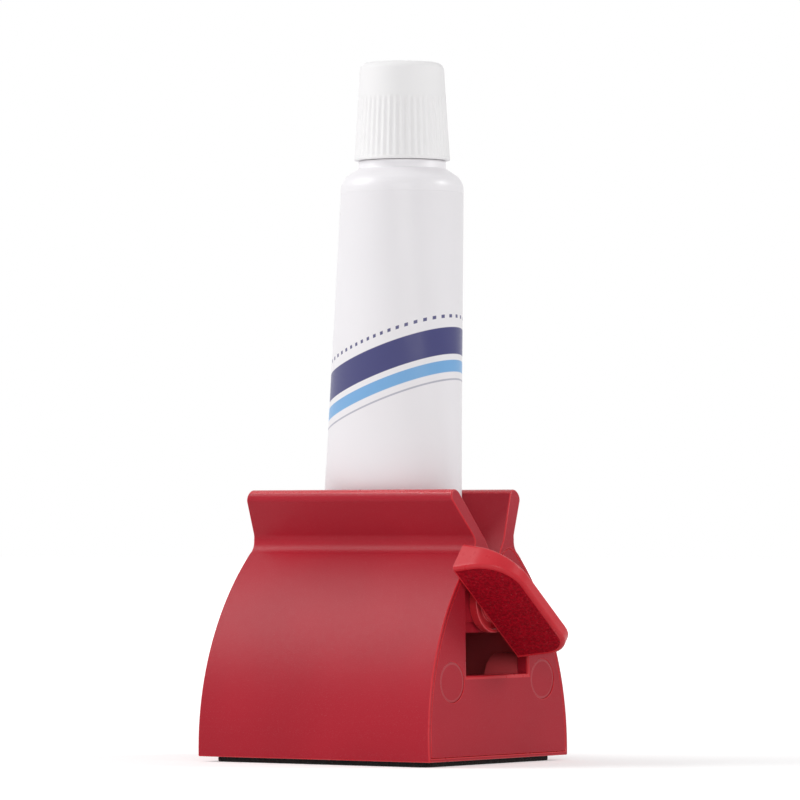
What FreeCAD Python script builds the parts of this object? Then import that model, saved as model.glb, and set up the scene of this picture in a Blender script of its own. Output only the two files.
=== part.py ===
import FreeCAD, Part
import math
import os
import Sketcher

# Toothpaste dispenser: a tent-shaped housing with flared lips, and a key that winds the
# tail of the tube on a slotted spindle. Millimetres, +Z up, +X towards the key, front at -Y.
# The origin is the centre of the foam pad's underside. Heights are measured from there.

V = FreeCAD.Vector

SIZES = [
    # housing
    ("tail_room", 7.655, "free room in the chamber beside the flat tail"),
    ("housing_depth", 59.4, "depth of the foot along Y"),
    ("pad_thickness", 1.3, "foam pad under the housing"),
    ("pad_inset", 2.75, "pad edge inside the foot's edge"),
    ("pad_corner", 3.0, "corner radius of the pad"),
    ("wall_radius", 65.07, "radius of the curved front and rear walls"),
    ("neck_offset", 3.62, "crease outside the line of the lip's outer flank"),
    ("crease_rise", 0.2, "crease under the neck, above the throat"),
    ("neck_radius", 3.5, "concave radius of the neck"),
    ("neck_rise", 3.7, "ends start to lean in, above the throat"),
    ("lip_rise", 16.3, "top of the lips above the throat"),
    ("lip_nose", 2.0, "radius of the lip's rounded top"),
    ("lip_inner_angle", 31.0, "inner flank of the lip from the vertical, degrees"),
    ("lip_outer_angle", 33.5, "outer flank of the lip from the vertical, degrees"),
    ("throat_gap", 3.4, "width of the slot between the jaws"),
    ("throat_height", 52.0, "top of the slot between the jaws"),
    ("jaw_land", 1.4, "height of the flat land of each jaw"),
    ("jaw_root_drop", 3.6, "jaw's underside meets the wall, below the throat"),
    ("wall_thickness", 2.6, "front and rear walls"),
    ("floor_thickness", 3.0, "floor of the housing"),
    ("left_wall", 3.0, "left end wall"),
    ("end_draft", 1.3, "lean of each end up to the neck"),
    ("lip_end_inset", 4.7, "lean of each end at the top of the lips"),
    # end cover and what it holds
    ("cover_thickness", 3.8, "end cover at the foot"),
    ("cover_rim", 1.0, "rim of the housing round the end cover"),
    ("cover_fit", 0.06, "clearance round the end cover"),
    ("finger_radius", 3.2, "rounded tops of the cover's fingers"),
    ("opening_land", 1.25, "cover between its opening and each peg"),
    ("opening_drop", 18.2, "lower edge of the opening below the axis"),
    ("opening_rise", 2.6, "opening starts to narrow, above the axis"),
    ("boss_sink", 0.65, "peg boss let into the wall"),
    ("peg_drop", 12.0, "pegs below the bearing plate's lower edge"),
    ("peg_diameter", 10.0, "diameter of the pegs"),
    ("peg_depth", 8.0, "depth of the pegs in their bosses"),
    ("peg_fit", 0.03, "clearance round the pegs"),
    ("peg_recess", 0.05, "peg heads below the cover's face"),
    ("boss_wall", 1.6, "wall round each peg hole"),
    ("boss_floor", 2.0, "bottom of each peg hole"),
    ("plate_thickness", 3.0, "bearing plate"),
    ("plate_drop", 7.7, "lower edge of the bearing plate below the axis"),
    ("plate_fit", 0.15, "clearance round the bearing plate"),
    ("plate_step", 2.7, "height of the step along the plate's lower edge"),
    ("plate_step_depth", 1.0, "depth of that step"),
    ("ledge_width", 2.0, "ledge behind the bearing plate"),
    ("ledge_thickness", 2.5, "thickness of that ledge"),
    # spindle, bush and key
    ("spindle_drop", 11.6, "winding axis below the throat"),
    ("spindle_diameter", 7.2, "slotted rod"),
    ("slot_width", 1.2, "slot that grips the tail"),
    ("slot_play", 0.4, "slot beyond the edge of the tail"),
    ("tip_chamfer", 1.0, "lead-in at the rod's tip"),
    ("tip_gap", 0.3, "tip to the left end wall"),
    ("tip_fit", 0.06, "radial clearance of the tip in its socket"),
    ("socket_depth", 3.5, "socket on the left end wall"),
    ("socket_wall", 2.0, "wall of the socket"),
    ("collar_diameter", 10.0, "collar that keeps the bush on the rod"),
    ("collar_thickness", 0.9, "thickness of that collar"),
    ("journal_diameter", 8.0, "journal that turns in the bush"),
    ("journal_fit", 0.05, "radial clearance of the journal"),
    ("bush_diameter", 11.0, "barrel of the bush"),
    ("bush_fit", 0.05, "radial clearance of the bush in the plate"),
    ("bush_tail", 0.65, "barrel beyond the plate's inner face"),
    ("axial_gap", 0.1, "end play beside the bush"),
    ("flange_diameter", 15.6, "flange of the bush"),
    ("flange_thickness", 2.3, "thickness of the flange"),
    ("flange_rim", 0.9, "raised rim of the flange"),
    ("flange_dish", 0.7, "depth of the dished flange face"),
    ("flange_land", 1.1, "raised land round the flange's bore"),
    ("drive_width", 5.0, "square end of the rod"),
    ("drive_length", 6.5, "length of the square end"),
    ("drive_fit", 0.05, "clearance round the square end"),
    ("hub_diameter", 8.8, "hub of the key"),
    ("hub_cover", 1.2, "hub beyond the end of its square socket"),
    ("key_gap", 0.2, "key's inner edge beyond the end of the foot"),
    ("key_reach", 15.4, "width of the paddle along X"),
    ("key_long", 21.2, "longer arm of the paddle"),
    ("key_short", 15.4, "shorter arm of the paddle"),
    ("key_root_thickness", 8.0, "paddle at its inner edge"),
    ("key_edge_thickness", 3.2, "paddle at its outer edge"),
    ("key_offset", 2.2, "paddle's middle plane beside the axis"),
    ("key_corner_long", 10.0, "outer corner of the longer arm"),
    ("key_corner_short", 6.5, "outer corner of the shorter arm"),
    ("key_edge_round", 0.9, "rounding of the paddle's edges"),
    ("key_angle", 38.5, "turn of the key at rest, degrees"),
    # tube
    ("tube_diameter", 31.0, "round end of the tube"),
    ("tube_lean", 3.8, "cap axis beyond the middle of the tail"),
    ("sleeve_wall", 0.4, "laminate of the sleeve"),
    ("sleeve_length", 91.0, "sleeve above the throat"),
    ("sleeve_fullness", 1.735, "how soon the sleeve swells above the lips, an exponent"),
    ("waist_rise", 17.0, "section just above the lips, above the throat"),
    ("waist_depth", 18.0, "depth of the tube there"),
    ("tube_clearance", 0.5, "tube to the inner flanks of the lips"),
    ("paste_gap", 0.1, "paste inside the sleeve"),
    ("tail_thickness", 0.8, "flattened tail, two layers"),
    ("tail_gap", 0.7, "edge of the tail to the collar"),
    ("roll_clearance", 0.3, "first turn of the roll outside the rod"),
    ("roll_pitch", 1.25, "turn to turn in the roll"),
    ("roll_gap", 0.35, "roll to the part of the tail that is not wound"),
    ("tail_end_inset", 0.4, "end of the tail inside the rod"),
    ("skirt_height", 4.0, "shoulder's skirt inside the sleeve"),
    ("skirt_gap", 0.35, "skirt inside the sleeve"),
    ("shoulder_wall", 1.4, "wall of the shoulder"),
    ("shoulder_side", 0.77, "straight side of the shoulder above the sleeve"),
    ("shoulder_angle", 34.0, "slope of the cone, degrees"),
    ("shoulder_round", 4.5, "radius between the side and the cone"),
    ("shoulder_width", 4.5, "width of the cone, from its side to the ring"),
    ("nozzle_diameter", 16.4, "threaded nozzle"),
    ("nozzle_bore", 8.0, "mouth of the nozzle"),
    # cap
    ("cap_rise", 2.0, "lower edge of the cap above the cone"),
    ("cap_height", 24.7, "height of the cap"),
    ("cap_base_diameter", 24.2, "cap at its lower edge"),
    ("cap_top_diameter", 21.0, "cap at its top"),
    ("cap_edge", 2.0, "rounding of the top edge"),
    ("cap_gap", 0.3, "cap to the ring under it"),
    ("thread_room", 0.9, "threaded bore of the cap round the nozzle"),
    ("cap_bore_depth", 9.8, "depth of that bore"),
    ("core_diameter", 13.0, "hollow above the liner"),
    ("cap_crown", 2.0, "thickness of the cap's top"),
    ("liner_thickness", 0.8, "sealing disc"),
    ("liner_fit", 0.15, "clearance of the disc in the bore"),
    ("seal_gap", 0.3, "nozzle to the sealing disc"),
    ("rib_count", 46, "ribs round the cap"),
    ("rib_groove", 0.8, "width of the grooves between the ribs"),
    ("rib_depth", 0.35, "depth of the grooves"),
    ("rib_foot", 0.7, "plain band under the ribs"),
    ("rib_height", 15.2, "height of the ribs"),
]

doc = FreeCAD.newDocument("ToothpasteDispenser")
sheet = doc.addObject("Spreadsheet::Sheet", "Sizes")


class Size:
    """A value and the formula that ties it to the sheet."""

    def __init__(self, formula, value):
        self.formula = formula
        self.value = value

    def combine(self, other, sign, value):
        return Size("(" + self.formula + " " + sign + " " + other.formula + ")", value)

    def __add__(self, other):
        other = as_size(other)
        return self.combine(other, "+", self.value + other.value)

    def __sub__(self, other):
        other = as_size(other)
        return self.combine(other, "-", self.value - other.value)

    def __mul__(self, other):
        other = as_size(other)
        return self.combine(other, "*", self.value * other.value)

    def __truediv__(self, other):
        other = as_size(other)
        return self.combine(other, "/", self.value / other.value)

    def __neg__(self):
        return Size("(0 - " + self.formula + ")", -self.value)


def as_size(number):
    if isinstance(number, Size):
        return number
    return Size(repr(float(number)), float(number))


def square(size):
    return size * size


def root(size):
    return Size("sqrt(" + size.formula + ")", math.sqrt(size.value))


def sine(angle):
    return Size("sin(" + angle.formula + ")", math.sin(math.radians(angle.value)))


def cosine(angle):
    return Size("cos(" + angle.formula + ")", math.cos(math.radians(angle.value)))


def tangent(angle):
    return Size("tan(" + angle.formula + ")", math.tan(math.radians(angle.value)))


class Named:
    """The sheet's sizes by name."""


size = Named()
for row, (name, number, note) in enumerate(SIZES, start=1):
    sheet.set("A" + str(row), name)
    sheet.set("B" + str(row), str(number))
    sheet.set("C" + str(row), note)
    sheet.setAlias("B" + str(row), name)
    setattr(size, name, Size("Sizes." + name, float(number)))
doc.recompute()
ZERO = as_size(0)

derived = doc.addObject("Spreadsheet::Sheet", "Derived")
derived_rows = iter(range(1, 100))


def named(name, item):
    """A value worked out from the sizes, kept in a cell of its own."""
    row = str(next(derived_rows))
    derived.set("A" + row, name)
    derived.set("B" + row, "=" + item.formula)
    derived.setAlias("B" + row, name)
    return Size("Derived." + name, item.value)



# Helpers for bodies, sketches and features

def bind(item, path, length):
    item.setExpression(path, length.formula)


def new_body(label, x=None, z=None, turn=None):
    body = doc.addObject("PartDesign::Body", label)
    body.Label = label
    axis = V(-1, 0, 0)
    start = V(x.value if x else 0, 0, z.value if z else 0)
    body.Placement = FreeCAD.Placement(start, FreeCAD.Rotation(axis, turn.value if turn else 0))
    if x:
        bind(body, "Placement.Base.x", x)
    if z:
        bind(body, "Placement.Base.z", z)
    if turn:
        bind(body, "Placement.Rotation.Angle", turn)
    return body


def new_sketch(body, name, plane, offset=None):
    sketch = body.newObject("Sketcher::SketchObject", name)
    support = next(item for item in body.Origin.OriginFeatures if item.Role == plane)
    sketch.AttachmentSupport = [(support, "")]
    sketch.MapMode = "FlatFace"
    if offset is not None:
        sketch.AttachmentOffset = FreeCAD.Placement(V(0, 0, offset.value), FreeCAD.Rotation())
        bind(sketch, "AttachmentOffset.Base.z", offset)
    return sketch


def constrain(sketch, rules, ties):
    """Add the plain rules, then the dimensions, each tied to its formula."""
    dimensions = [Sketcher.Constraint(kind, *refs, length.value) for kind, refs, length in ties]
    first = len(sketch.Constraints) + len(rules)
    sketch.addConstraint(rules + dimensions)
    for index, (kind, refs, length) in enumerate(ties, start=first):
        sketch.setExpression("Constraints[" + str(index) + "]", length.formula)


def pin(rules, ties, geometry, position, x, y):
    """Hold a point at x, y of the sketch."""
    if abs(x.value) < 1e-9:
        rules.append(Sketcher.Constraint("PointOnObject", geometry, position, -2))
    else:
        ties.append(("DistanceX", (-1, 1, geometry, position), x))
    if abs(y.value) < 1e-9:
        rules.append(Sketcher.Constraint("PointOnObject", geometry, position, -1))
    else:
        ties.append(("DistanceY", (-1, 1, geometry, position), y))


def arc_between(start, end, radius, left):
    """The short arc from start to end, with its centre on the left or right of the way."""
    chord = end - start
    half = chord.Length / 2
    side = V(-chord.y, chord.x, 0).normalize()
    if not left:
        side = side * -1
    rise = math.sqrt(max(radius * radius - half * half, 0))
    centre = (start + end) * 0.5 + side * rise
    angles = [math.atan2((p - centre).y, (p - centre).x) for p in (start, end)]
    if not left:
        angles.reverse()
    if angles[1] < angles[0]:
        angles[1] += 2 * math.pi
    return Part.ArcOfCircle(Part.Circle(centre, V(0, 0, 1), radius), angles[0], angles[1])


def draw_loop(sketch, corners, bends=None):
    """A closed loop. bends: {corner number: (radius, "left" or "right")} for the way onward."""
    bends = bends or {}
    points = [V(x.value, y.value, 0) for x, y in corners]
    count = len(points)
    pieces = []
    ends = []
    for i in range(count):
        start, end = points[i], points[(i + 1) % count]
        if i in bends:
            radius, side = bends[i]
            pieces.append(arc_between(start, end, radius.value, side == "left"))
            ends.append((1, 2) if side == "left" else (2, 1))
        else:
            pieces.append(Part.LineSegment(start, end))
            ends.append((1, 2))
    first = sketch.GeometryCount
    sketch.addGeometry(pieces, False)
    rules = []
    ties = []
    for i in range(count):
        j = (i + 1) % count
        rules.append(Sketcher.Constraint("Coincident", first + i, ends[i][1], first + j, ends[j][0]))
        pin(rules, ties, first + i, ends[i][0], *corners[i])
        if i in bends:
            ties.append(("Radius", (first + i,), bends[i][0]))
    constrain(sketch, rules, ties)


def mirrored(corners, bends=None):
    """The loop that a right half and its mirror image make."""
    bends = dict(bends or {})
    count = len(corners)
    for i, bend in list(bends.items()):
        bends[2 * count - 2 - i] = bend
    return corners + [(-x, y) for x, y in reversed(corners)], bends


def draw_circle(sketch, x, y, radius):
    circle = Part.Circle(V(x.value, y.value, 0), V(0, 0, 1), radius.value)
    index = sketch.addGeometry(circle, False)
    rules = []
    ties = [("Radius", (index,), radius)]
    pin(rules, ties, index, 3, x, y)
    constrain(sketch, rules, ties)


def draw_box(sketch, x0, x1, y0, y1):
    draw_loop(sketch, [(x0, y0), (x1, y0), (x1, y1), (x0, y1)])


def pad(body, name, sketch, length, reverse=False):
    feature = body.newObject("PartDesign::Pad", name)
    feature.Profile = sketch
    bind(feature, "Length", length)
    feature.Reversed = reverse
    doc.recompute()
    return feature


def pocket(body, name, sketch, length=None, reverse=False, both=False):
    before = body.Tip.Shape.Volume
    feature = body.newObject("PartDesign::Pocket", name)
    feature.Profile = sketch
    if length is None:
        feature.Type = "ThroughAll"
    else:
        bind(feature, "Length", length)
    if both:
        feature.SideType = "Symmetric"
    feature.Reversed = reverse
    doc.recompute()
    if feature.Shape.isNull() or feature.Shape.Volume > before - 1e-6:
        raise RuntimeError(name + " removes nothing")
    return feature


def revolve(body, name, sketch, axis):
    feature = body.newObject("PartDesign::Revolution", name)
    feature.Profile = sketch
    feature.ReferenceAxis = (sketch, [axis])
    feature.Angle = 360
    doc.recompute()
    return feature


# Shared heights, counted up and down from the throat between the lips

throat_half = size.throat_gap / 2
jaw_bottom = size.throat_height - size.jaw_land
crease_height = named("crease_height", size.throat_height + size.crease_rise)
neck_height = named("neck_height", size.throat_height + size.neck_rise)
lip_height = named("lip_height", size.throat_height + size.lip_rise)
jaw_root_height = named("jaw_root_height", size.throat_height - size.jaw_root_drop)
spindle_height = named("spindle_height", size.throat_height - size.spindle_drop)
opening_shoulder = named("opening_shoulder", spindle_height + size.opening_rise)
opening_bottom = named("opening_bottom", spindle_height - size.opening_drop)
plate_bottom = named("plate_bottom", spindle_height - size.plate_drop)
peg_height = named("peg_height", plate_bottom - size.peg_drop)
waist_height = named("waist_height", size.throat_height + size.waist_rise)
sleeve_top = named("sleeve_top", size.throat_height + size.sleeve_length)

# The flat tail is half the girth of the tube, and the housing is as long as that needs

tube_radius = size.tube_diameter / 2
tail_width = tube_radius * math.pi
bush_room = size.bush_tail + size.axial_gap + size.collar_thickness + size.tail_gap
chamber_length = size.socket_depth + size.tail_room + tail_width + bush_room
housing_length = size.left_wall + chamber_length + size.plate_thickness + size.cover_thickness
half_length = named("half_length", housing_length / 2)
seat_x = half_length - size.cover_thickness
left_face = size.left_wall - half_length

# Shared geometry of the housing's section, in the YZ plane. The crease lies a set distance
# outside the lip's outer flank, and the wall is an arc through the foot and the crease.

nose_height = lip_height - size.lip_nose
nose_rise = (nose_height - size.throat_height) * tangent(size.lip_inner_angle)
nose_y = named("nose_y", throat_half + nose_rise + size.lip_nose / cosine(size.lip_inner_angle))
along_y = sine(size.lip_outer_angle)
along_z = cosine(size.lip_outer_angle)
flank_y = named("flank_y", nose_y + size.lip_nose * along_z)
flank_z = named("flank_z", nose_height - size.lip_nose * along_y)
crease_y = named("crease_y", flank_y + ((crease_height - flank_z) * along_y + size.neck_offset) / along_z)
foot_y = size.housing_depth / 2
chord_y = foot_y - crease_y
chord_z = crease_height - size.pad_thickness
chord = named("chord", root(square(chord_y) + square(chord_z)))
centre_offset = named("centre_offset", root(square(size.wall_radius) - square(chord / 2)))
wall_centre = named("wall_centre", (foot_y + crease_y) / 2 - centre_offset * chord_z / chord)
middle_height = (size.pad_thickness + crease_height) / 2
wall_centre_height = named("wall_centre_height", middle_height - centre_offset * chord_y / chord)
doc.recompute()


def wall_y(height, inset):
    """Distance from the middle plane to the wall's surface, an inset below its outside."""
    radius = size.wall_radius - inset
    return wall_centre + root(square(radius) - square(height - wall_centre_height))


def end_x(height):
    """The leaning end of the housing up to the neck."""
    share = (height - size.pad_thickness) / (neck_height - size.pad_thickness)
    return half_length - size.end_draft * share


def outer_section():
    """Foot, curved wall, crease, neck, flared lip with its rounded top, and the inner flank."""
    inner_y = nose_y - size.lip_nose * cosine(size.lip_inner_angle)
    inner_z = nose_height + size.lip_nose * sine(size.lip_inner_angle)
    reach = (crease_y - flank_y) * along_y + (crease_height - flank_z) * along_z
    run = reach + root(square(size.neck_radius) - square(size.neck_radius - size.neck_offset))
    corners = [
        (foot_y, size.pad_thickness),
        (crease_y, crease_height),
        (flank_y + along_y * run, flank_z + along_z * run),
        (flank_y, flank_z),
        (nose_y, lip_height),
        (inner_y, inner_z),
        (throat_half, size.throat_height),
    ]
    bends = {
        0: (size.wall_radius, "left"),
        1: (size.neck_radius, "right"),
        3: (size.lip_nose, "left"),
        4: (size.lip_nose, "left"),
    }
    return mirrored(corners, bends)


def cover_outline(extra):
    """Right half of the end cover up to its finger, grown by extra for the seat."""
    inset = size.cover_rim + size.cover_fit - extra
    foot = size.pad_thickness + inset
    finger = size.finger_radius + extra
    finger_y = throat_half + size.cover_rim + size.cover_fit + size.finger_radius
    core = size.wall_radius - size.cover_rim - size.cover_fit - size.finger_radius
    finger_z = wall_centre_height + root(square(core) - square(finger_y - wall_centre))
    share = (core + finger) / core
    touch_y = wall_centre + (finger_y - wall_centre) * share
    touch_z = wall_centre_height + (finger_z - wall_centre_height) * share
    corners = [
        (wall_y(foot, inset), foot),
        (touch_y, touch_z),
        (finger_y - finger, finger_z),
    ]
    bends = {0: (size.wall_radius - inset, "left"), 1: (finger, "left")}
    return corners, bends


def end_wedge(sign):
    """What the lean of one end takes away, in the XZ plane."""
    above = lip_height + 1
    beyond = half_length + 1
    corners = [
        (half_length, size.pad_thickness),
        (half_length - size.end_draft, neck_height),
        (half_length - size.lip_end_inset, above),
        (beyond, above),
        (beyond, size.pad_thickness),
    ]
    if sign < 0:
        return [(-x, z) for x, z in corners]
    return corners


# Foam pad

base_pad = new_body("base_pad")
pad_x = half_length - size.pad_inset
pad_y = size.housing_depth / 2 - size.pad_inset
pad_sketch = new_sketch(base_pad, "PadOutline", "XY_Plane")
corner = size.pad_corner
draw_loop(pad_sketch, [
    (-pad_x + corner, -pad_y),
    (pad_x - corner, -pad_y),
    (pad_x, -pad_y + corner),
    (pad_x, pad_y - corner),
    (pad_x - corner, pad_y),
    (-pad_x + corner, pad_y),
    (-pad_x, pad_y - corner),
    (-pad_x, -pad_y + corner),
], {i: (corner, "left") for i in (1, 3, 5, 7)})
pad(base_pad, "PadSheet", pad_sketch, size.pad_thickness)

# Housing: walls, floor, left end and lips in one moulding, open at the right end

housing = new_body("housing")
section = new_sketch(housing, "HousingSection", "YZ_Plane", -half_length)
draw_loop(section, *outer_section())
pad(housing, "HousingBlock", section, housing_length)

lean = new_sketch(housing, "EndLean", "XZ_Plane")
draw_loop(lean, end_wedge(1))
draw_loop(lean, end_wedge(-1))
pocket(housing, "EndLeanCut", lean, both=True)

floor_top = size.pad_thickness + size.floor_thickness
cavity = new_sketch(housing, "CavitySection", "YZ_Plane", left_face)
draw_loop(cavity, *mirrored([
    (wall_y(floor_top, size.wall_thickness), floor_top),
    (wall_y(jaw_root_height, size.wall_thickness), jaw_root_height),
    (throat_half, jaw_bottom),
], {0: (size.wall_radius - size.wall_thickness, "left")}))
pocket(housing, "WindingChamber", cavity, reverse=True)

throat = new_sketch(housing, "ThroatSlot", "XY_Plane", size.throat_height)
draw_box(throat, left_face, half_length + 1, -throat_half, throat_half)
pocket(housing, "Throat", throat, size.jaw_land + 1)

ledge = new_sketch(housing, "PlateLedge", "YZ_Plane", seat_x - size.plate_thickness - size.ledge_thickness)
ledge_low = plate_bottom + 1
ledge_high = jaw_root_height - 2
ledge_root = size.wall_thickness / 2
ledge_face = size.wall_thickness + size.ledge_width
ledge_corners = [
    (wall_y(ledge_low, ledge_root), ledge_low),
    (wall_y(ledge_high, ledge_root), ledge_high),
    (wall_y(ledge_high, ledge_face), ledge_high),
    (wall_y(ledge_low, ledge_face), ledge_low),
]
inner_radius = size.wall_radius - ledge_face
outer_radius = size.wall_radius - ledge_root
draw_loop(ledge, ledge_corners, {0: (outer_radius, "left"), 2: (inner_radius, "right")})
draw_loop(ledge, [(-y, z) for y, z in ledge_corners], {0: (outer_radius, "right"), 2: (inner_radius, "left")})
pad(housing, "PlateLedges", ledge, size.ledge_thickness)

peg_radius = size.peg_diameter / 2
boss_radius = peg_radius + size.boss_wall
peg_y = named("peg_y", wall_y(peg_height, size.wall_thickness) + size.boss_sink - boss_radius)
boss_length = size.peg_depth + size.boss_floor
boss = new_sketch(housing, "PegBosses", "YZ_Plane", seat_x - boss_length)
draw_circle(boss, peg_y, peg_height, boss_radius)
draw_circle(boss, -peg_y, peg_height, boss_radius)
pad(housing, "PegBoss", boss, boss_length)

spindle_radius = size.spindle_diameter / 2
socket_root = size.left_wall / 2
socket_bore = spindle_radius + size.tip_fit
socket = new_sketch(housing, "TipSocket", "YZ_Plane", left_face - socket_root)
draw_circle(socket, ZERO, spindle_height, socket_bore + size.socket_wall)
draw_circle(socket, ZERO, spindle_height, socket_bore)
pad(housing, "TipSocketRing", socket, socket_root + size.socket_depth)

rebate = new_sketch(housing, "CoverSeat", "YZ_Plane", seat_x)
seat_corners, seat_bends = cover_outline(size.cover_fit)
seat_corners.append((seat_corners[-1][0], jaw_root_height - 1))
draw_loop(rebate, *mirrored(seat_corners, seat_bends))
pocket(housing, "CoverRebate", rebate, reverse=True)

holes = new_sketch(housing, "PegHoles", "YZ_Plane", seat_x)
draw_circle(holes, peg_y, peg_height, peg_radius + size.peg_fit)
draw_circle(holes, -peg_y, peg_height, peg_radius + size.peg_fit)
pocket(housing, "PegHole", holes, size.peg_depth)

# End cover: a U-shaped plate whose fingers reach up into the jaws

end_cover = new_body("end_cover")
outline = new_sketch(end_cover, "CoverOutline", "YZ_Plane", seat_x)
opening_half = named("opening_half", peg_y - peg_radius - size.opening_land)
cover_corners, cover_bends = cover_outline(ZERO)
cover_corners.append((opening_half, opening_shoulder))
cover_corners.append((opening_half, opening_bottom))
draw_loop(outline, *mirrored(cover_corners, cover_bends))
pad(end_cover, "CoverPlate", outline, size.cover_thickness + 0.5)
cover_lean = new_sketch(end_cover, "CoverLean", "XZ_Plane")
draw_loop(cover_lean, end_wedge(1))
pocket(end_cover, "CoverLeanCut", cover_lean, both=True)
cover_holes = new_sketch(end_cover, "CoverHoles", "YZ_Plane", seat_x)
draw_circle(cover_holes, peg_y, peg_height, peg_radius + size.peg_fit)
draw_circle(cover_holes, -peg_y, peg_height, peg_radius + size.peg_fit)
pocket(end_cover, "CoverHole", cover_holes, reverse=True)

# Two pegs with flush heads

peg_start = seat_x - size.peg_depth
peg_length = end_x(peg_height + peg_radius) - size.peg_recess - peg_start
pegs = []
for peg_name, peg_side in (("PegRear", peg_y), ("PegFront", -peg_y)):
    peg = doc.addObject("Part::Cylinder", peg_name)
    peg.Placement = FreeCAD.Placement(V(0, 0, 0), FreeCAD.Rotation(V(0, 1, 0), 90))
    bind(peg, "Radius", peg_radius)
    bind(peg, "Height", peg_length)
    bind(peg, "Placement.Base.x", peg_start)
    bind(peg, "Placement.Base.y", peg_side)
    bind(peg, "Placement.Base.z", peg_height)
    pegs.append(peg)
cover_pegs = doc.addObject("Part::Compound", "cover_pegs")
cover_pegs.Label = "cover_pegs"
cover_pegs.Links = pegs

# Bearing plate, clamped between the ledges and the end cover

bearing_plate = new_body("bearing_plate")
plate = new_sketch(bearing_plate, "PlateOutline", "YZ_Plane", seat_x - size.plate_thickness)
plate_inset = size.wall_thickness + size.plate_fit
plate_top = jaw_root_height - size.plate_fit
draw_loop(plate, *mirrored([
    (wall_y(plate_bottom, plate_inset), plate_bottom),
    (wall_y(plate_top, plate_inset), plate_top),
], {0: (size.wall_radius - plate_inset, "left")}))
bush_radius = size.bush_diameter / 2
draw_circle(plate, ZERO, spindle_height, bush_radius + size.bush_fit)
pad(bearing_plate, "Plate", plate, size.plate_thickness)
step = new_sketch(bearing_plate, "PlateStep", "YZ_Plane", seat_x)
draw_box(step, -opening_half, opening_half, plate_bottom - 1, plate_bottom + size.plate_step)
pocket(bearing_plate, "PlateStepCut", step, size.plate_step_depth)

# Flanged bush: seats on the plate, and stays on the rod when the key is pulled out

bush_inner_x = seat_x - size.plate_thickness - size.bush_tail
flange_x = seat_x + size.axial_gap
flange_face = flange_x + size.flange_thickness
flange_radius = size.flange_diameter / 2
journal_radius = size.journal_diameter / 2
bush_bore = journal_radius + size.journal_fit
land_radius = bush_bore + size.flange_land
dish_x = flange_face - size.flange_dish
spindle_bush = new_body("spindle_bush", z=spindle_height)
bush = new_sketch(spindle_bush, "BushSection", "XZ_Plane")
draw_loop(bush, [
    (bush_inner_x, bush_bore),
    (flange_face, bush_bore),
    (flange_face, land_radius),
    (dish_x, land_radius),
    (dish_x, flange_radius - size.flange_rim),
    (flange_face, flange_radius - size.flange_rim),
    (flange_face, flange_radius),
    (flange_x, flange_radius),
    (flange_x, bush_radius),
    (bush_inner_x, bush_radius),
])
revolve(spindle_bush, "Bush", bush, "H_Axis")

# Tail of the tube, beside the collar

collar_out = bush_inner_x - size.axial_gap
collar_in = collar_out - size.collar_thickness
tail_right = collar_in - size.tail_gap
tail_x = named("tail_x", tail_right - tail_width / 2)
tube_axis_x = named("tube_axis_x", tail_x + size.tube_lean)

# Slotted rod with its journal, collar and square end

spindle = new_body("spindle", z=spindle_height)
tip_x = left_face + size.tip_gap
hub_x = flange_face + size.axial_gap
rod = new_sketch(spindle, "RodSection", "XZ_Plane")
collar_radius = size.collar_diameter / 2
draw_loop(rod, [
    (tip_x, ZERO),
    (hub_x, ZERO),
    (hub_x, journal_radius),
    (collar_out, journal_radius),
    (collar_out, collar_radius),
    (collar_in, collar_radius),
    (collar_in, spindle_radius),
    (tip_x + size.tip_chamfer, spindle_radius),
    (tip_x, spindle_radius - size.tip_chamfer),
])
revolve(spindle, "Rod", rod, "H_Axis")
drive_half = size.drive_width / 2
drive = new_sketch(spindle, "SquareEnd", "YZ_Plane", hub_x)
draw_box(drive, -drive_half, drive_half, -drive_half, drive_half)
pad(spindle, "Drive", drive, size.drive_length)
slot = new_sketch(spindle, "SlotOutline", "XZ_Plane")
slot_half = size.slot_width / 2
draw_box(slot, tip_x - 1, tail_right + size.slot_play, -slot_half, slot_half)
pocket(spindle, "Slot", slot, both=True)

# Key: a wedge-shaped paddle with a hub

winding_key = new_body("winding_key", z=spindle_height, turn=size.key_angle)
key_root = half_length + size.key_gap
key_edge = key_root + size.key_reach
key_low = -size.key_offset - size.key_root_thickness / 2
key_high = key_low + size.key_root_thickness
key_slope = (size.key_root_thickness - size.key_edge_thickness) / 2 / size.key_reach
paddle = new_sketch(winding_key, "PaddleOutline", "XY_Plane", key_low)
draw_loop(paddle, [
    (key_root, -size.key_long),
    (key_edge - size.key_corner_long, -size.key_long),
    (key_edge, -size.key_long + size.key_corner_long),
    (key_edge, size.key_short - size.key_corner_short),
    (key_edge - size.key_corner_short, size.key_short),
    (key_root, size.key_short),
], {1: (size.key_corner_long, "left"), 3: (size.key_corner_short, "left")})
pad(winding_key, "Paddle", paddle, size.key_root_thickness)
taper = new_sketch(winding_key, "PaddleTaper", "XZ_Plane")
taper_x = key_edge + 1
taper_rise = key_slope * (size.key_reach + 1)
draw_loop(taper, [
    (key_root, key_low),
    (key_root, key_low - 1),
    (taper_x, key_low - 1),
    (taper_x, key_low + taper_rise),
])
draw_loop(taper, [
    (key_root, key_high),
    (taper_x, key_high - taper_rise),
    (taper_x, key_high + 1),
    (key_root, key_high + 1),
])
wedge = pocket(winding_key, "PaddleWedge", taper, both=True)


def rim_edges(shape):
    """Edges round the paddle's two faces, without those on its inner edge."""
    names = []
    for number, edge in enumerate(shape.Edges, start=1):
        box = edge.BoundBox
        flat = box.ZMax - box.ZMin
        steep = abs(edge.tangentAt(edge.FirstParameter).z) > 0.9
        at_root = box.XMax < key_root.value + 1e-3
        if not at_root and not steep and flat < size.key_root_thickness.value * 0.45:
            names.append("Edge" + str(number))
    return names


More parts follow.
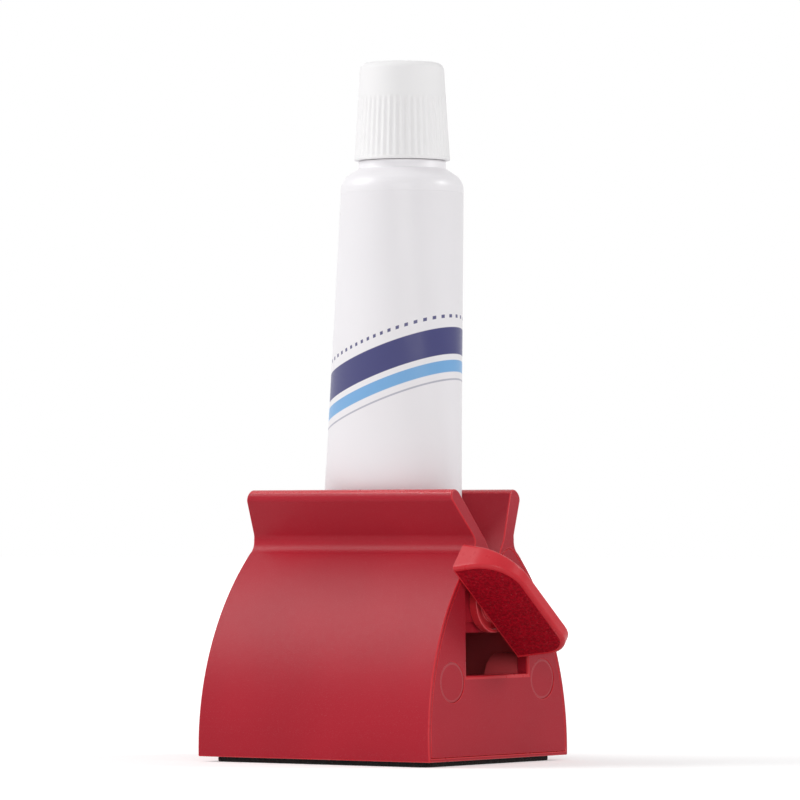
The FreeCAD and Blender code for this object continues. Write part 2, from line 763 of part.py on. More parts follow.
rounding = winding_key.newObject("PartDesign::Fillet", "PaddleRounding")
rounding.Base = (wedge, rim_edges(wedge.Shape))
bind(rounding, "Radius", size.key_edge_round)
doc.recompute()
hub = new_sketch(winding_key, "HubOutline", "YZ_Plane", hub_x)
draw_circle(hub, ZERO, ZERO, size.hub_diameter / 2)
hub_length = size.drive_length + size.drive_fit + size.hub_cover
pad(winding_key, "Hub", hub, hub_length)
square_hole = new_sketch(winding_key, "SquareSocket", "YZ_Plane", hub_x)
hole_half = drive_half + size.drive_fit
hub_turn = [(hole_half, hole_half), (-hole_half, hole_half), (-hole_half, -hole_half), (hole_half, -hole_half)]
turned = []
for y, z in hub_turn:
    lie = cosine(size.key_angle)
    rise = sine(size.key_angle)
    turned.append((y * lie - z * rise, y * rise + z * lie))
draw_loop(square_hole, turned)
pocket(winding_key, "Socket", square_hole, size.drive_length + size.drive_fit, reverse=True)

# Tail roll: the tail passes through the slot and lies round the rod in half turns,
# whose centres are the axis and a point half a pitch beside it

half_pitch = size.roll_pitch / 2
layer = size.tail_thickness
layer_half = layer / 2
first_r = spindle_radius + size.roll_clearance
second_r = first_r + half_pitch
third_r = first_r + size.roll_pitch
roll_radius = third_r + layer
tail_roll = new_body("tail_roll", z=spindle_height)
roll = new_sketch(tail_roll, "RollSection", "YZ_Plane", tail_right - tail_width)
strip_end = spindle_radius - size.tail_end_inset
inner_start = root(square(first_r) - square(layer_half))
draw_loop(roll, [
    (strip_end, layer_half),
    (-first_r - layer, layer_half),
    (-first_r - layer, ZERO),
    (ZERO, -first_r - layer),
    (first_r + layer, ZERO),
    (-half_pitch, second_r + layer),
    (-third_r - layer, ZERO),
    (ZERO, -third_r - layer),
    (third_r + layer, ZERO),
    (third_r, ZERO),
    (ZERO, -third_r),
    (-third_r, ZERO),
    (-half_pitch, second_r),
    (first_r, ZERO),
    (ZERO, -first_r),
    (-inner_start, -layer_half),
    (strip_end, -layer_half),
], {
    2: (first_r + layer, "left"),
    3: (first_r + layer, "left"),
    4: (second_r + layer, "left"),
    5: (second_r + layer, "left"),
    6: (third_r + layer, "left"),
    7: (third_r + layer, "left"),
    9: (third_r, "right"),
    10: (third_r, "right"),
    11: (second_r, "right"),
    12: (second_r, "right"),
    13: (first_r, "right"),
    14: (first_r, "right"),
})
pad(tail_roll, "Roll", roll, tail_width)

# Tube sleeve: round under the shoulder, flattened towards the slot between the lips.
# Each section keeps the girth of the round tube, to within a few tenths.


def section_x(height):
    share = (height - size.throat_height) / (sleeve_top - size.throat_height)
    return tail_x + (tube_axis_x - tail_x) * share


def girth_half(half_depth):
    """Half width of the flattened tube for a half depth."""
    flat = as_size(1) - half_depth / tube_radius
    bulge = Size("(" + flat.formula + ")^0.68", max(flat.value, 0) ** 0.68)
    return tube_radius * (bulge * (math.pi / 2 - 1) + 1)


def lip_depth(rise):
    """Half depth of the tube a given height above the throat, clear of the lips."""
    return throat_half + tangent(size.lip_inner_angle) * rise - size.tube_clearance


def ellipse(name, height, half_width, half_depth):
    item = doc.addObject("Part::Ellipse", name)
    bind(item, "MajorRadius", half_width)
    bind(item, "MinorRadius", half_depth)
    bind(item, "Placement.Base.x", section_x(height))
    bind(item, "Placement.Base.z", height)
    return item


def swelling_depth(height):
    """Half depth of the tube at a height between the waist and the round top."""
    waist = size.waist_depth / 2
    left = (sleeve_top - height) / (sleeve_top - waist_height)
    power = left.formula + "^" + size.sleeve_fullness.formula
    fullness = as_size(1) - Size(power, left.value ** size.sleeve_fullness.value)
    return waist + (tube_radius - waist) * fullness


LIP_RISES = (2.0, 5.0, 9.0)
SWELLING_SHARES = (0.0, 0.135, 0.3, 0.475, 0.65, 0.825)
sections = [(size.throat_height, layer_half)]
for lip_rise in LIP_RISES:
    sections.append((size.throat_height + lip_rise, lip_depth(as_size(lip_rise))))
for swelling_share in SWELLING_SHARES:
    swelling_height = waist_height + (sleeve_top - waist_height) * swelling_share
    sections.append((swelling_height, swelling_depth(swelling_height)))


def tube_loft(name, first, inset, top, top_width, top_depth):
    """A loft up the tube from one of the sections, an inset inside the sleeve's outside."""
    rings = []
    for number, (height, half_depth) in enumerate(sections[first:], start=first):
        ring_name = name + "Section" + str(number)
        rings.append(ellipse(ring_name, height, girth_half(half_depth) - inset, half_depth - inset))
    rings.append(ellipse(name + "SectionTop", top, top_width - inset, top_depth - inset))
    loft = doc.addObject("Part::Loft", name)
    loft.Sections = rings
    loft.Solid = True
    loft.Ruled = False
    loft.MaxDegree = 3
    return loft


sleeve_outside = tube_loft("SleeveOutside", 0, ZERO, sleeve_top, tube_radius, tube_radius)
sleeve_inside = tube_loft("SleeveInside", 2, size.sleeve_wall, sleeve_top, tube_radius, tube_radius)
sleeve_shell = doc.addObject("Part::Cut", "SleeveShell")
sleeve_shell.Base = sleeve_outside
sleeve_shell.Tool = sleeve_inside

# The flat tail goes on through the throat and lies along the roll without touching it
web_radius = roll_radius + size.roll_gap + layer_half
web_drop = jaw_bottom - spindle_height
web_sine = web_radius / web_drop
web_cosine = root(as_size(1) - square(web_sine))
web_run = web_drop * web_cosine
web_mitre = layer_half * (as_size(1) - web_cosine) / web_sine
touch_y = web_run * web_sine
touch_z = jaw_bottom - web_run * web_cosine
web = doc.addObject("Sketcher::SketchObject", "WebSection")
web.Placement = FreeCAD.Placement(V(0, 0, 0), FreeCAD.Rotation(V(1, 1, 1), 120))
bind(web, "Placement.Base.x", tail_right - tail_width)
web_top = size.throat_height + 1
draw_loop(web, [
    (layer_half, web_top),
    (-layer_half, web_top),
    (-layer_half, jaw_bottom - web_mitre),
    (touch_y - web_cosine * layer_half, touch_z - web_sine * layer_half),
    (web_radius - layer_half, spindle_height),
    (web_radius + layer_half, spindle_height),
    (touch_y + web_cosine * layer_half, touch_z + web_sine * layer_half),
    (layer_half, jaw_bottom + web_mitre),
], {3: (web_radius - layer_half, "right"), 5: (web_radius + layer_half, "left")})
web_sheet = doc.addObject("Part::Extrusion", "TailWeb")
web_sheet.Base = web
web_sheet.DirMode = "Normal"
web_sheet.Solid = True
bind(web_sheet, "LengthFwd", tail_width)
tube_sleeve = doc.addObject("Part::Fuse", "tube_sleeve")
tube_sleeve.Label = "tube_sleeve"
tube_sleeve.Base = sleeve_shell
tube_sleeve.Tool = web_sheet

# The paste fills the sleeve up to the shoulder's skirt
paste_top = sleeve_top - size.skirt_height - size.paste_gap
paste_depth = swelling_depth(paste_top)
paste_inset = size.sleeve_wall + size.paste_gap
paste_fill = tube_loft("paste_fill", 2, paste_inset, paste_top, girth_half(paste_depth), paste_depth)
paste_fill.Label = "paste_fill"

# Shoulder with its skirt, cone, ring and nozzle

tube_shoulder = new_body("tube_shoulder", x=tube_axis_x)
ring_radius = tube_radius - size.shoulder_width
slope = tangent(size.shoulder_angle)
corner_run = size.shoulder_round * tangent((as_size(90) - size.shoulder_angle) / 2)
corner_z = named("corner_z", sleeve_top + size.shoulder_side + corner_run)
shoulder_top = named("shoulder_top", corner_z + size.shoulder_width * slope)
cap_bottom = named("cap_bottom", shoulder_top + size.cap_rise)
cap_bore_top = cap_bottom + size.cap_bore_depth
liner_top = cap_bore_top - size.axial_gap
liner_bottom = liner_top - size.liner_thickness
nozzle_top = liner_bottom - size.seal_gap
ring_top = cap_bottom - size.cap_gap
nozzle_radius = size.nozzle_diameter / 2
mouth_radius = size.nozzle_bore / 2
skirt_radius = tube_radius - size.sleeve_wall - size.skirt_gap
skirt_inner = skirt_radius - size.shoulder_wall
inner_drop = size.shoulder_wall / cosine(size.shoulder_angle)
shoulder = new_sketch(tube_shoulder, "ShoulderSection", "XZ_Plane")
draw_loop(shoulder, [
    (skirt_inner, sleeve_top - size.skirt_height),
    (skirt_radius, sleeve_top - size.skirt_height),
    (skirt_radius, sleeve_top),
    (tube_radius, sleeve_top),
    (tube_radius, corner_z - corner_run),
    (tube_radius - corner_run * cosine(size.shoulder_angle), corner_z + corner_run * sine(size.shoulder_angle)),
    (ring_radius, shoulder_top),
    (ring_radius, ring_top),
    (nozzle_radius, ring_top),
    (nozzle_radius, nozzle_top),
    (mouth_radius, nozzle_top),
    (mouth_radius, shoulder_top - inner_drop),
    (ring_radius, shoulder_top - inner_drop),
    (skirt_inner, shoulder_top - inner_drop - (skirt_inner - ring_radius) * slope),
], {4: (size.shoulder_round, "left")})
revolve(tube_shoulder, "Shoulder", shoulder, "V_Axis")

# Screw cap with its ribs, hollow above the liner

cap = new_body("cap", x=tube_axis_x)
base_radius = size.cap_base_diameter / 2
top_radius = size.cap_top_diameter / 2
bore_radius = nozzle_radius + size.thread_room
core_radius = size.core_diameter / 2
cap_top = cap_bottom + size.cap_height
cap_taper = (base_radius - top_radius) / size.cap_height
cap_section = new_sketch(cap, "CapSection", "XZ_Plane")
draw_loop(cap_section, [
    (bore_radius, cap_bottom),
    (base_radius, cap_bottom),
    (top_radius + cap_taper * size.cap_edge, cap_top - size.cap_edge),
    (top_radius - size.cap_edge + cap_taper * size.cap_edge, cap_top),
    (ZERO, cap_top),
    (ZERO, cap_top - size.cap_crown),
    (core_radius, cap_top - size.cap_crown),
    (core_radius, cap_bore_top),
    (bore_radius, cap_bore_top),
], {2: (size.cap_edge, "left")})
revolve(cap, "CapBlank", cap_section, "V_Axis")
groove = new_sketch(cap, "GrooveSide", "XZ_Plane")
groove_low = cap_bottom + size.rib_foot
groove_high = groove_low + size.rib_height
low_radius = base_radius - cap_taper * size.rib_foot - size.rib_depth
high_radius = low_radius - cap_taper * size.rib_height
draw_loop(groove, [
    (low_radius, groove_low),
    (base_radius + 1, groove_low),
    (base_radius + 1, groove_high),
    (high_radius, groove_high),
])
groove_cut = pocket(cap, "Groove", groove, size.rib_groove, both=True)
ribs = cap.newObject("PartDesign::PolarPattern", "Ribs")
ribs.Originals = [groove_cut]
ribs.Axis = (next(item for item in cap.Origin.OriginFeatures if item.Role == "Z_Axis"), [""])
ribs.Angle = 360
bind(ribs, "Occurrences", size.rib_count)
cap.Tip = ribs

# Sealing disc

cap_liner = doc.addObject("Part::Cylinder", "cap_liner")
cap_liner.Label = "cap_liner"
bind(cap_liner, "Radius", bore_radius - size.liner_fit)
bind(cap_liner, "Height", size.liner_thickness)
bind(cap_liner, "Placement.Base.x", tube_axis_x)
bind(cap_liner, "Placement.Base.z", liner_bottom)

doc.recompute()

NODES = [
    housing, end_cover, cover_pegs, bearing_plate, base_pad,
    spindle_bush, spindle, winding_key,
    tail_roll, tube_sleeve, tube_shoulder, paste_fill,
    cap, cap_liner,
]

for item in doc.Objects:
    if "Invalid" in item.State or "Error" in item.State:
        raise RuntimeError(item.Label + " did not build: " + str(item.State))
for item in NODES:
    if item.Shape.isNull() or not item.Shape.isValid() or not item.Shape.Solids:
        raise RuntimeError(item.Label + " has no valid solid")

os.makedirs("parts", exist_ok=True)
for item in NODES:
    item.Shape.exportStep("parts/" + item.Label + ".step")
    box = item.Shape.BoundBox
    print("%-14s %2d solids %10.1f mm3  X %7.2f %7.2f  Y %7.2f %7.2f  Z %7.2f %7.2f" % (
        item.Label, len(item.Shape.Solids), item.Shape.Volume,
        box.XMin, box.XMax, box.YMin, box.YMax, box.ZMin, box.ZMax))
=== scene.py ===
import math

import bmesh
import bpy
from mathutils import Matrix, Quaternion, Vector


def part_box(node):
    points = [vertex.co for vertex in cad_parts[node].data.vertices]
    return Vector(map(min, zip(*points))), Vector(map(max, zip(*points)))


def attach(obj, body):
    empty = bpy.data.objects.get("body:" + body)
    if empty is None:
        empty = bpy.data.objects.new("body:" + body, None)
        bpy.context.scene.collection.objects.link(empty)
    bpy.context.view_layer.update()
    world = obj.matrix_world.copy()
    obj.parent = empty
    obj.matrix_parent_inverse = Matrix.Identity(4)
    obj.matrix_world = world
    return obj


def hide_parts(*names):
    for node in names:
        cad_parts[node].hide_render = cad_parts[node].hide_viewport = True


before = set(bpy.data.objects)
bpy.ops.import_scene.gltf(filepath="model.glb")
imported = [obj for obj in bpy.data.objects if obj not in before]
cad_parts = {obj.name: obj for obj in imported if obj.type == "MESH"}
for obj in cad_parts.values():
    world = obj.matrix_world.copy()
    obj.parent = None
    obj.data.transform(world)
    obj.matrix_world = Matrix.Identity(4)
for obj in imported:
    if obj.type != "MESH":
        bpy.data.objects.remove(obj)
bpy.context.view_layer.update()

bl_info = {
    "name": "Toothpaste dispenser",
    "version": (1, 0, 0),
    "blender": (4, 5, 0),
    "location": "View3D > Sidebar > Dispenser",
    "description": "Finishes a red tube winder with its tube, key and cap",
    "category": "Object",
}

MM = 0.001
TURN = 2 * math.pi

# Heights and places of the object, in millimetres, in the frame of the solids
LIP_TOP = 68.3
CREASE_HEIGHT = 52.2
NECK_HEIGHT = 55.7
END_HALF = 36.0
NECK_END = 34.7
LIP_END = 31.3
FOOT_HEIGHT = 1.3
AXIS_HEIGHT = 40.4
THROAT_HEIGHT = 52.0
JAW_BOTTOM = 50.6
TAIL_MIDDLE = 2.5
TAIL_LEFT = -21.84
TAIL_RIGHT = 26.85
TUBE_AXIS = 6.3
TUBE_RADIUS = 15.5
SLEEVE_TOP = 143.0
WAIST_HEIGHT = 69.0
WAIST_HALF_DEPTH = 9.0
CAP_BOTTOM = 151.2
CAP_TOP = 175.9
KEY_ANGLE = 38.5
WALL_CENTRE = (35.237, 5.46)
INNER_RADIUS = 63.6

# The stage, with places in metres, power in watts and angles in degrees
CAMERA_PLACE = (0.86129, -1.16780, 0.06083)
CAMERA_LOOK = (-0.59097, 0.80642, 0.02078)
CAMERA_ROLL = -0.111
CAMERA_LENS = 258.593
SENSOR_WIDTH = 36.0
FLOOR_SIZE = 12
AIR_LIGHT = 0.45
# Name, place, target, size and power of each lamp
LAMPS = [
    ("key_softbox", (-0.95, -0.67, 0.96), (0, 0, 0.05), 0.75, 10.6),
    ("fill_softbox", (1.05, -1.35, 0.46), (0, 0, 0.08), 0.9, 7.4),
    ("rear_softbox", (1.10, 0.70, 0.80), (0.02, 0, 0.06), 0.35, 5.2),
]

# Points within this distance, in metres, are one point, and faces within this angle are one face
MERGE_DISTANCE = 2e-6
FLAT_ANGLE = math.radians(0.4)

# Faces that meet at a smaller angle than this, in degrees, are shaded as one
SMOOTH_DEGREES = 35
# Edges where faces turn by more than this, in degrees, are corners
CORNER_DEGREES = 30

# Steps round the tube and its shoulder
TUBE_STEPS = 128

# Blasted faces with smooth edges, whose brighter red is painted highlight
RED_AND_HIGHLIT_EDGE = ["red_plastic_blasted", "red_edge"]

# Sockets of the node that mixes colours, which share their names with others
MIX_FIRST, MIX_SECOND, MIX_RESULT = 6, 7, 2


# Sizes and colours that a user would change

class DispenserSizes(bpy.types.PropertyGroup):
    edge_round: bpy.props.FloatProperty(
        name="Edge rounding", description="Rounding of the housing's moulded edges",
        default=0.5 * MM, min=0.05 * MM, max=0.6 * MM, precision=5, unit="LENGTH", subtype="DISTANCE")
    fine_round: bpy.props.FloatProperty(
        name="Fine rounding", description="Rounding of the cover, pegs, bush, plate and rod",
        default=0.2 * MM, min=0.02 * MM, max=0.3 * MM, precision=5, unit="LENGTH", subtype="DISTANCE")
    rib_count: bpy.props.IntProperty(
        name="Ribs", description="Ribs round the cap", default=46, min=12, max=90)
    rib_depth: bpy.props.FloatProperty(
        name="Rib depth", description="Depth of the valleys between the cap's ribs",
        default=0.26 * MM, min=0.05 * MM, max=0.35 * MM, precision=5, unit="LENGTH", subtype="DISTANCE")
    thread_pitch: bpy.props.FloatProperty(
        name="Thread pitch", description="Rise of the screw thread in one turn",
        default=3.0 * MM, min=1.0 * MM, max=5.0 * MM, precision=5, unit="LENGTH", subtype="DISTANCE")


class DispenserColours(bpy.types.PropertyGroup):
    red: bpy.props.FloatVectorProperty(
        name="Red plastic", description="Blasted faces of the housing",
        default=(0.40, 0.012, 0.026), min=0, max=1, subtype="COLOR")
    key_red: bpy.props.FloatVectorProperty(
        name="Key face", description="Coarsely blasted broad faces of the key",
        default=(0.42, 0.0035, 0.0155), min=0, max=1, subtype="COLOR")
    # Edge red is brighter than the faces' red: painted highlight where light catches the rounded edges
    red_edge: bpy.props.FloatVectorProperty(
        name="Red edges", description="Smooth rounded edges of the red plastic",
        default=(0.60, 0.016, 0.028), min=0, max=1, subtype="COLOR")
    white: bpy.props.FloatVectorProperty(
        name="Tube white", description="Ground colour of the tube and its shoulder",
        default=(0.88, 0.86, 0.885), min=0, max=1, subtype="COLOR")
    cap_white: bpy.props.FloatVectorProperty(
        name="Cap white", description="Cap of the tube",
        default=(0.92, 0.91, 0.915), min=0, max=1, subtype="COLOR")
    navy: bpy.props.FloatVectorProperty(
        name="Print navy", description="Broad band and dots printed round the tube",
        default=(0.022, 0.024, 0.155), min=0, max=1, subtype="COLOR")
    sky: bpy.props.FloatVectorProperty(
        name="Print blue", description="Narrow band printed round the tube",
        default=(0.12, 0.38, 0.72), min=0, max=1, subtype="COLOR")
    foam: bpy.props.FloatVectorProperty(
        name="Foam", description="Pad under the housing",
        default=(0.012, 0.011, 0.011), min=0, max=1, subtype="COLOR")


# Selecting and editing

def rest():
    """Leaves edit mode with nothing selected."""
    if bpy.context.object and bpy.context.object.mode != "OBJECT":
        bpy.ops.object.mode_set(mode="OBJECT")
    bpy.ops.object.select_all(action="DESELECT")


def take(piece):
    """Selects one piece, in object mode."""
    rest()
    piece.select_set(True)
    bpy.context.view_layer.objects.active = piece


def edit(piece, kind="EDGE"):
    """Opens one piece in edit mode, ready to select points, edges or faces."""
    take(piece)
    bpy.ops.object.mode_set(mode="EDIT")
    bpy.ops.mesh.select_mode(type=kind)


def pick(piece, kind, wanted):
    """In edit mode, selects the points, edges or faces for which wanted says yes."""
    bpy.ops.mesh.select_all(action="DESELECT")
    mesh = bmesh.from_edit_mesh(piece.data)
    items = {"VERT": mesh.verts, "EDGE": mesh.edges, "FACE": mesh.faces}[kind]
    found = 0
    for item in items:
        if wanted(item):
            item.select_set(True)
            found += 1
    mesh.select_flush_mode()
    bmesh.update_edit_mesh(piece.data)
    return found


def middle(edge):
    """Middle of an edge, in millimetres."""
    return (edge.verts[0].co + edge.verts[1].co) / 2 / MM


def sharp(edge, degrees=CORNER_DEGREES):
    """Says whether the two faces at an edge turn by more than an angle."""
    return len(edge.link_faces) == 2 and edge.calc_face_angle(0) > math.radians(degrees)


def face_outwards():
    """In edit mode, turns all faces outwards."""
    bpy.ops.mesh.select_all(action="SELECT")
    bpy.ops.mesh.normals_make_consistent(inside=False)


def solid_copy(node, name, materials):
    """A merged copy of a solid with flat faces in one piece, left in edit mode for rounding."""
    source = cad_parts[node]
    piece = bpy.data.objects.new(name, source.data.copy())
    bpy.context.scene.collection.objects.link(piece)
    piece.data.materials.clear()
    for material in materials:
        piece.data.materials.append(bpy.data.materials[material])
    take(piece)
    bpy.ops.mesh.customdata_custom_splitnormals_clear()
    edit(piece)
    bpy.ops.mesh.select_all(action="SELECT")
    bpy.ops.mesh.remove_doubles(threshold=MERGE_DISTANCE)
    bpy.ops.mesh.dissolve_limited(angle_limit=FLAT_ANGLE)
    return piece


def round_edges(piece, wanted, width, segments=3, material=1):
    """Rounds the edges that wanted picks; the new faces get the material of that slot."""
    if not pick(piece, "EDGE", wanted):
        raise RuntimeError(piece.name + " has no edge to round")
    bpy.ops.mesh.bevel(
        offset=width, offset_type="OFFSET", segments=segments, profile=0.5, affect="EDGES",
        clamp_overlap=True, material=material)


def finish_piece(piece, body, material=None, nodes=(), smooth=SMOOTH_DEGREES):
    """Shades a piece, gives it its material and hangs it on its body."""
    take(piece)
    bpy.ops.object.shade_smooth_by_angle(angle=math.radians(smooth))
    rest()
    if material:
        piece.data.materials.append(bpy.data.materials[material])
    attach(piece, body)
    if nodes:
        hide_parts(*nodes)


def finish_moulding(piece, body, node):
    """Finishes a red piece whose flat faces stay flat beside their rounded edges."""
    take(piece)
    bpy.ops.object.shade_smooth_by_angle(angle=math.radians(SMOOTH_DEGREES))
    bpy.ops.object.modifier_add(type="WEIGHTED_NORMAL")
    weighted = piece.modifiers[-1]
    weighted.keep_sharp = True
    weighted.weight = 80
    bpy.ops.object.modifier_apply(modifier=weighted.name)
    finish_piece(piece, body, nodes=[node])


def end_reach(height):
    """Where the leaning ends of the housing stand at a height, in millimetres from the middle."""
    if height < NECK_HEIGHT:
        share = (height - FOOT_HEIGHT) / (NECK_HEIGHT - FOOT_HEIGHT)
        return END_HALF + (NECK_END - END_HALF) * share
    share = (height - NECK_HEIGHT) / (LIP_TOP + 1 - NECK_HEIGHT)
    return NECK_END + (LIP_END - NECK_END) * share


# Rings: round and flattened pieces are drawn out of a circle, ring by ring

def first_ring(name, centre, radius, steps):
    """A new piece that is one level ring, all selected in edit mode."""
    rest()
    place = tuple(value * MM for value in centre)
    bpy.ops.mesh.primitive_circle_add(vertices=steps, radius=radius * MM, location=place)
    piece = bpy.context.object
    piece.name = name
    bpy.ops.object.transform_apply(location=True, rotation=False, scale=False)
    bpy.ops.object.mode_set(mode="EDIT")
    bpy.ops.mesh.select_mode(type="EDGE")
    bpy.ops.mesh.select_all(action="SELECT")
    return piece


def next_ring(move, scale=(1, 1, 1), centre=(0, 0, 0)):
    """Draws the selected ring on by a move, then scales it about its new centre."""
    bpy.ops.mesh.extrude_region_move(TRANSFORM_OT_translate={"value": tuple(v * MM for v in move)})
    if scale != (1, 1, 1):
        bpy.ops.transform.resize(value=scale, center_override=tuple(v * MM for v in centre))


def arc(centre_r, centre_z, radius, start, end, steps):
    """Points (r, z) of a rounded corner, in degrees from the outward direction."""
    points = []
    for index in range(steps + 1):
        angle = math.radians(start + (end - start) * index / steps)
        points.append((centre_r + radius * math.cos(angle), centre_z + radius * math.sin(angle)))
    return points


def draw_profile(profile):
    """Draws the selected ring about the tube's axis through each (r, z) of a profile."""
    radius, height = profile[0]
    for next_radius, next_height in profile[1:]:
        share = next_radius / radius
        next_ring((0, 0, next_height - height), (share, share, 1), (TUBE_AXIS, 0, next_height))
        radius, height = next_radius, next_height


def lathe(name, outside, inside, steps):
    """A closed round piece from its outer and inner profiles, which start at one rim."""
    radius, height = outside[0]
    piece = first_ring(name, (TUBE_AXIS, 0, height), radius, steps)
    rim = [v.index for v in piece.data.vertices]
    draw_profile(outside)
    bpy.ops.mesh.select_all(action="DESELECT")
    mesh = bmesh.from_edit_mesh(piece.data)
    mesh.verts.ensure_lookup_table()
    for index in rim:
        mesh.verts[index].select_set(True)
    mesh.select_flush(True)
    level_within = 1e-7
    for edge in mesh.edges:
        if edge.select and abs(edge.verts[0].co.z - edge.verts[1].co.z) > level_within:
            edge.select_set(False)
    bmesh.update_edit_mesh(piece.data)
    draw_profile([outside[0]] + inside)
    bpy.ops.mesh.select_all(action="SELECT")
    bpy.ops.mesh.remove_doubles(threshold=MERGE_DISTANCE)
    face_outwards()
    return piece


def screw_thread(name, radius, crest, width, start_height, turns, pitch, start_angle):
    """A screw thread round the tube's axis: its section swept up a helix, with closed ends."""
    rest()
    bpy.ops.mesh.primitive_plane_add(size=MM, location=(0, 0, 0), rotation=(math.pi / 2, 0, 0))
    piece = bpy.context.object
    piece.name = name
    bpy.ops.object.transform_apply(location=True, rotation=True, scale=True)
    edit(piece, "VERT")
    low, high = sorted((radius, crest))
    bpy.ops.mesh.select_all(action="SELECT")
    bpy.ops.transform.resize(value=(high - low, 1, width), center_override=(0, 0, 0))
    bpy.ops.transform.translate(value=((low + high) / 2 * MM, 0, start_height * MM))
    crest_share = 0.45
    pick(piece, "VERT", lambda v: abs(v.co.x / MM - crest) < 1e-3)
    bpy.ops.transform.resize(value=(1, 1, crest_share), center_override=(0, 0, start_height * MM))
    bpy.ops.mesh.select_all(action="SELECT")
    bpy.ops.mesh.delete(type="ONLY_FACE")
    bpy.ops.object.mode_set(mode="OBJECT")
    bpy.ops.object.modifier_add(type="SCREW")
    steps_per_turn = 60
    sweep = piece.modifiers[-1]
    sweep.axis = "Z"
    sweep.angle = turns * TURN
    sweep.screw_offset = turns * pitch
    sweep.steps = sweep.render_steps = int(turns * steps_per_turn)
    sweep.use_merge_vertices = False
    bpy.ops.object.modifier_apply(modifier=sweep.name)
    edit(piece)
    pick(piece, "EDGE", lambda e: len(e.link_faces) == 1)
    bpy.ops.mesh.fill_holes(sides=4)
    face_outwards()
    bpy.ops.transform.rotate(value=start_angle, orient_axis="Z", center_override=(0, 0, 0))
    bpy.ops.transform.translate(value=(TUBE_AXIS * MM, 0, 0))
    return piece


# Materials

class Nodes:
    """A node tree in the making."""

    def __init__(self, tree):
        self.tree = tree

    def node(self, kind, inputs=None, **settings):
        made = self.tree.nodes.new(kind)
        for name, value in settings.items():
            setattr(made, name, value)
        for name, value in (inputs or {}).items():
            self.feed(made.inputs[name], value)
        return made

    def feed(self, socket, value):
        """Links a socket to another one, or gives it a fixed value."""
        if isinstance(value, bpy.types.NodeSocket):
            self.tree.links.new(value, socket)
        else:
            socket.default_value = value

    def calc(self, operation, first, second=0.0, third=0.0):
        inputs = {0: first, 1: second, 2: third}
        return self.node("ShaderNodeMath", inputs, operation=operation).outputs[0]


class Finish(Nodes):
    """A procedural material in the making."""

    def __init__(self, name, colour, roughness, gloss=0.5):
        self.material = bpy.data.materials.new(name)
        self.material.use_nodes = True
        super().__init__(self.material.node_tree)
        self.shader = self.tree.nodes["Principled BSDF"]
        self.set("Base Color", (*colour, 1))
        self.set("Roughness", roughness)
        self.set("Specular IOR Level", gloss)
        self.place = self.node("ShaderNodeTexCoord").outputs["Object"]

    def set(self, name, value):
        """Sets an input of the surface."""
        self.feed(self.shader.inputs[name], value)

    def noise(self, scale, detail=2.0, roughness=0.5):
        inputs = {"Vector": self.place, "Scale": scale, "Detail": detail, "Roughness": roughness}
        return self.node("ShaderNodeTexNoise", inputs).outputs["Fac"]

    def spread(self, value, low, high, to_low=0.0, to_high=1.0):
        inputs = {"Value": value, "From Min": low, "From Max": high, "To Min": to_low, "To Max": to_high}
        return self.node("ShaderNodeMapRange", inputs, clamp=True).outputs["Result"]

    def patches(self, scale, detail, to_low=0.0, to_high=1.0):
        """Noise with most of its range spread between two values."""
        return self.spread(self.noise(scale, detail), 0.3, 0.7, to_low, to_high)

    def mix(self, share, first, second):
        made = self.node("ShaderNodeMix", {"Factor": share}, data_type="RGBA")
        for socket, tint in ((MIX_FIRST, first), (MIX_SECOND, second)):
            linked = isinstance(tint, bpy.types.NodeSocket)
            self.feed(made.inputs[socket], tint if linked else (*tint, 1))
        return made.outputs[MIX_RESULT]

    def bump(self, height, strength, distance):
        inputs = {"Strength": strength, "Distance": distance, "Height": height}
        self.set("Normal", self.node("ShaderNodeBump", inputs).outputs["Normal"])


def scaled(colour, share):
    """A colour made darker or brighter."""
    return tuple(min(1.0, part * share) for part in colour)


def lifted(colour, share):
    """A colour moved towards white."""
    return tuple(part + (1 - part) * share for part in colour)


def red_face(name, colour, grain_scale, grain_depth, roughness, painted_glint, gloss=0.18, painted_pit_shade=0.0):
    """Blasted red plastic: fine grain, pale specks of painted glint, pits darkened as painted shade and a
    slow drift of tone.
    """
    made = Finish(name, colour, roughness, gloss)
    tone = made.mix(made.patches(28, 2), scaled(colour, 0.92), scaled(colour, 1.06))
    grain = made.noise(grain_scale, 4, 0.65)
    # Painted shade: the low parts of the grain, the pits, are darkened
    tone = made.mix(made.spread(grain, 0.42, 0.58, painted_pit_shade, 0), tone, scaled(colour, 0.5))
    # Painted glint: pale specks lifted towards white
    dust_and_glint_specks = made.spread(made.noise(grain_scale * 2.1, 1), 0.62, 0.8, 0, painted_glint)
    made.set("Base Color", made.mix(dust_and_glint_specks, tone, lifted(colour, 0.35)))
    made.set("Roughness", made.spread(grain, 0.3, 0.7, roughness - 0.06, roughness + 0.1))
    made.bump(grain, grain_depth, 0.3 * MM)


def smooth_red_painted_light(name, colour, roughness, gloss=0.24):
    """Smooth red plastic of the rounded edges, rubbed a little paler in places; the colours it is given are
    brightened as painted highlight and painted light.
    """
    made = Finish(name, colour, roughness, gloss)
    rub = made.spread(made.noise(60, 2), 0.35, 0.7)
    made.set("Base Color", made.mix(rub, scaled(colour, 0.96), lifted(colour, 0.02)))
    made.set("Roughness", made.patches(420, 2, roughness - 0.04, roughness + 0.06))
    made.bump(made.noise(900, 2), 0.05, 0.1 * MM)


def plain_plastic(name, colour, roughness, shade, waviness, gloss=0.5):
    """Pale plastic with a faint drift of tone and a soft unevenness."""
    made = Finish(name, colour, roughness, gloss)
    made.set("Base Color", made.mix(made.patches(45, 2), scaled(colour, shade), colour))
    made.set("Roughness", made.patches(700, 3, roughness - 0.05, roughness + 0.08))
    made.bump(made.noise(220, 2), waviness, 0.3 * MM)


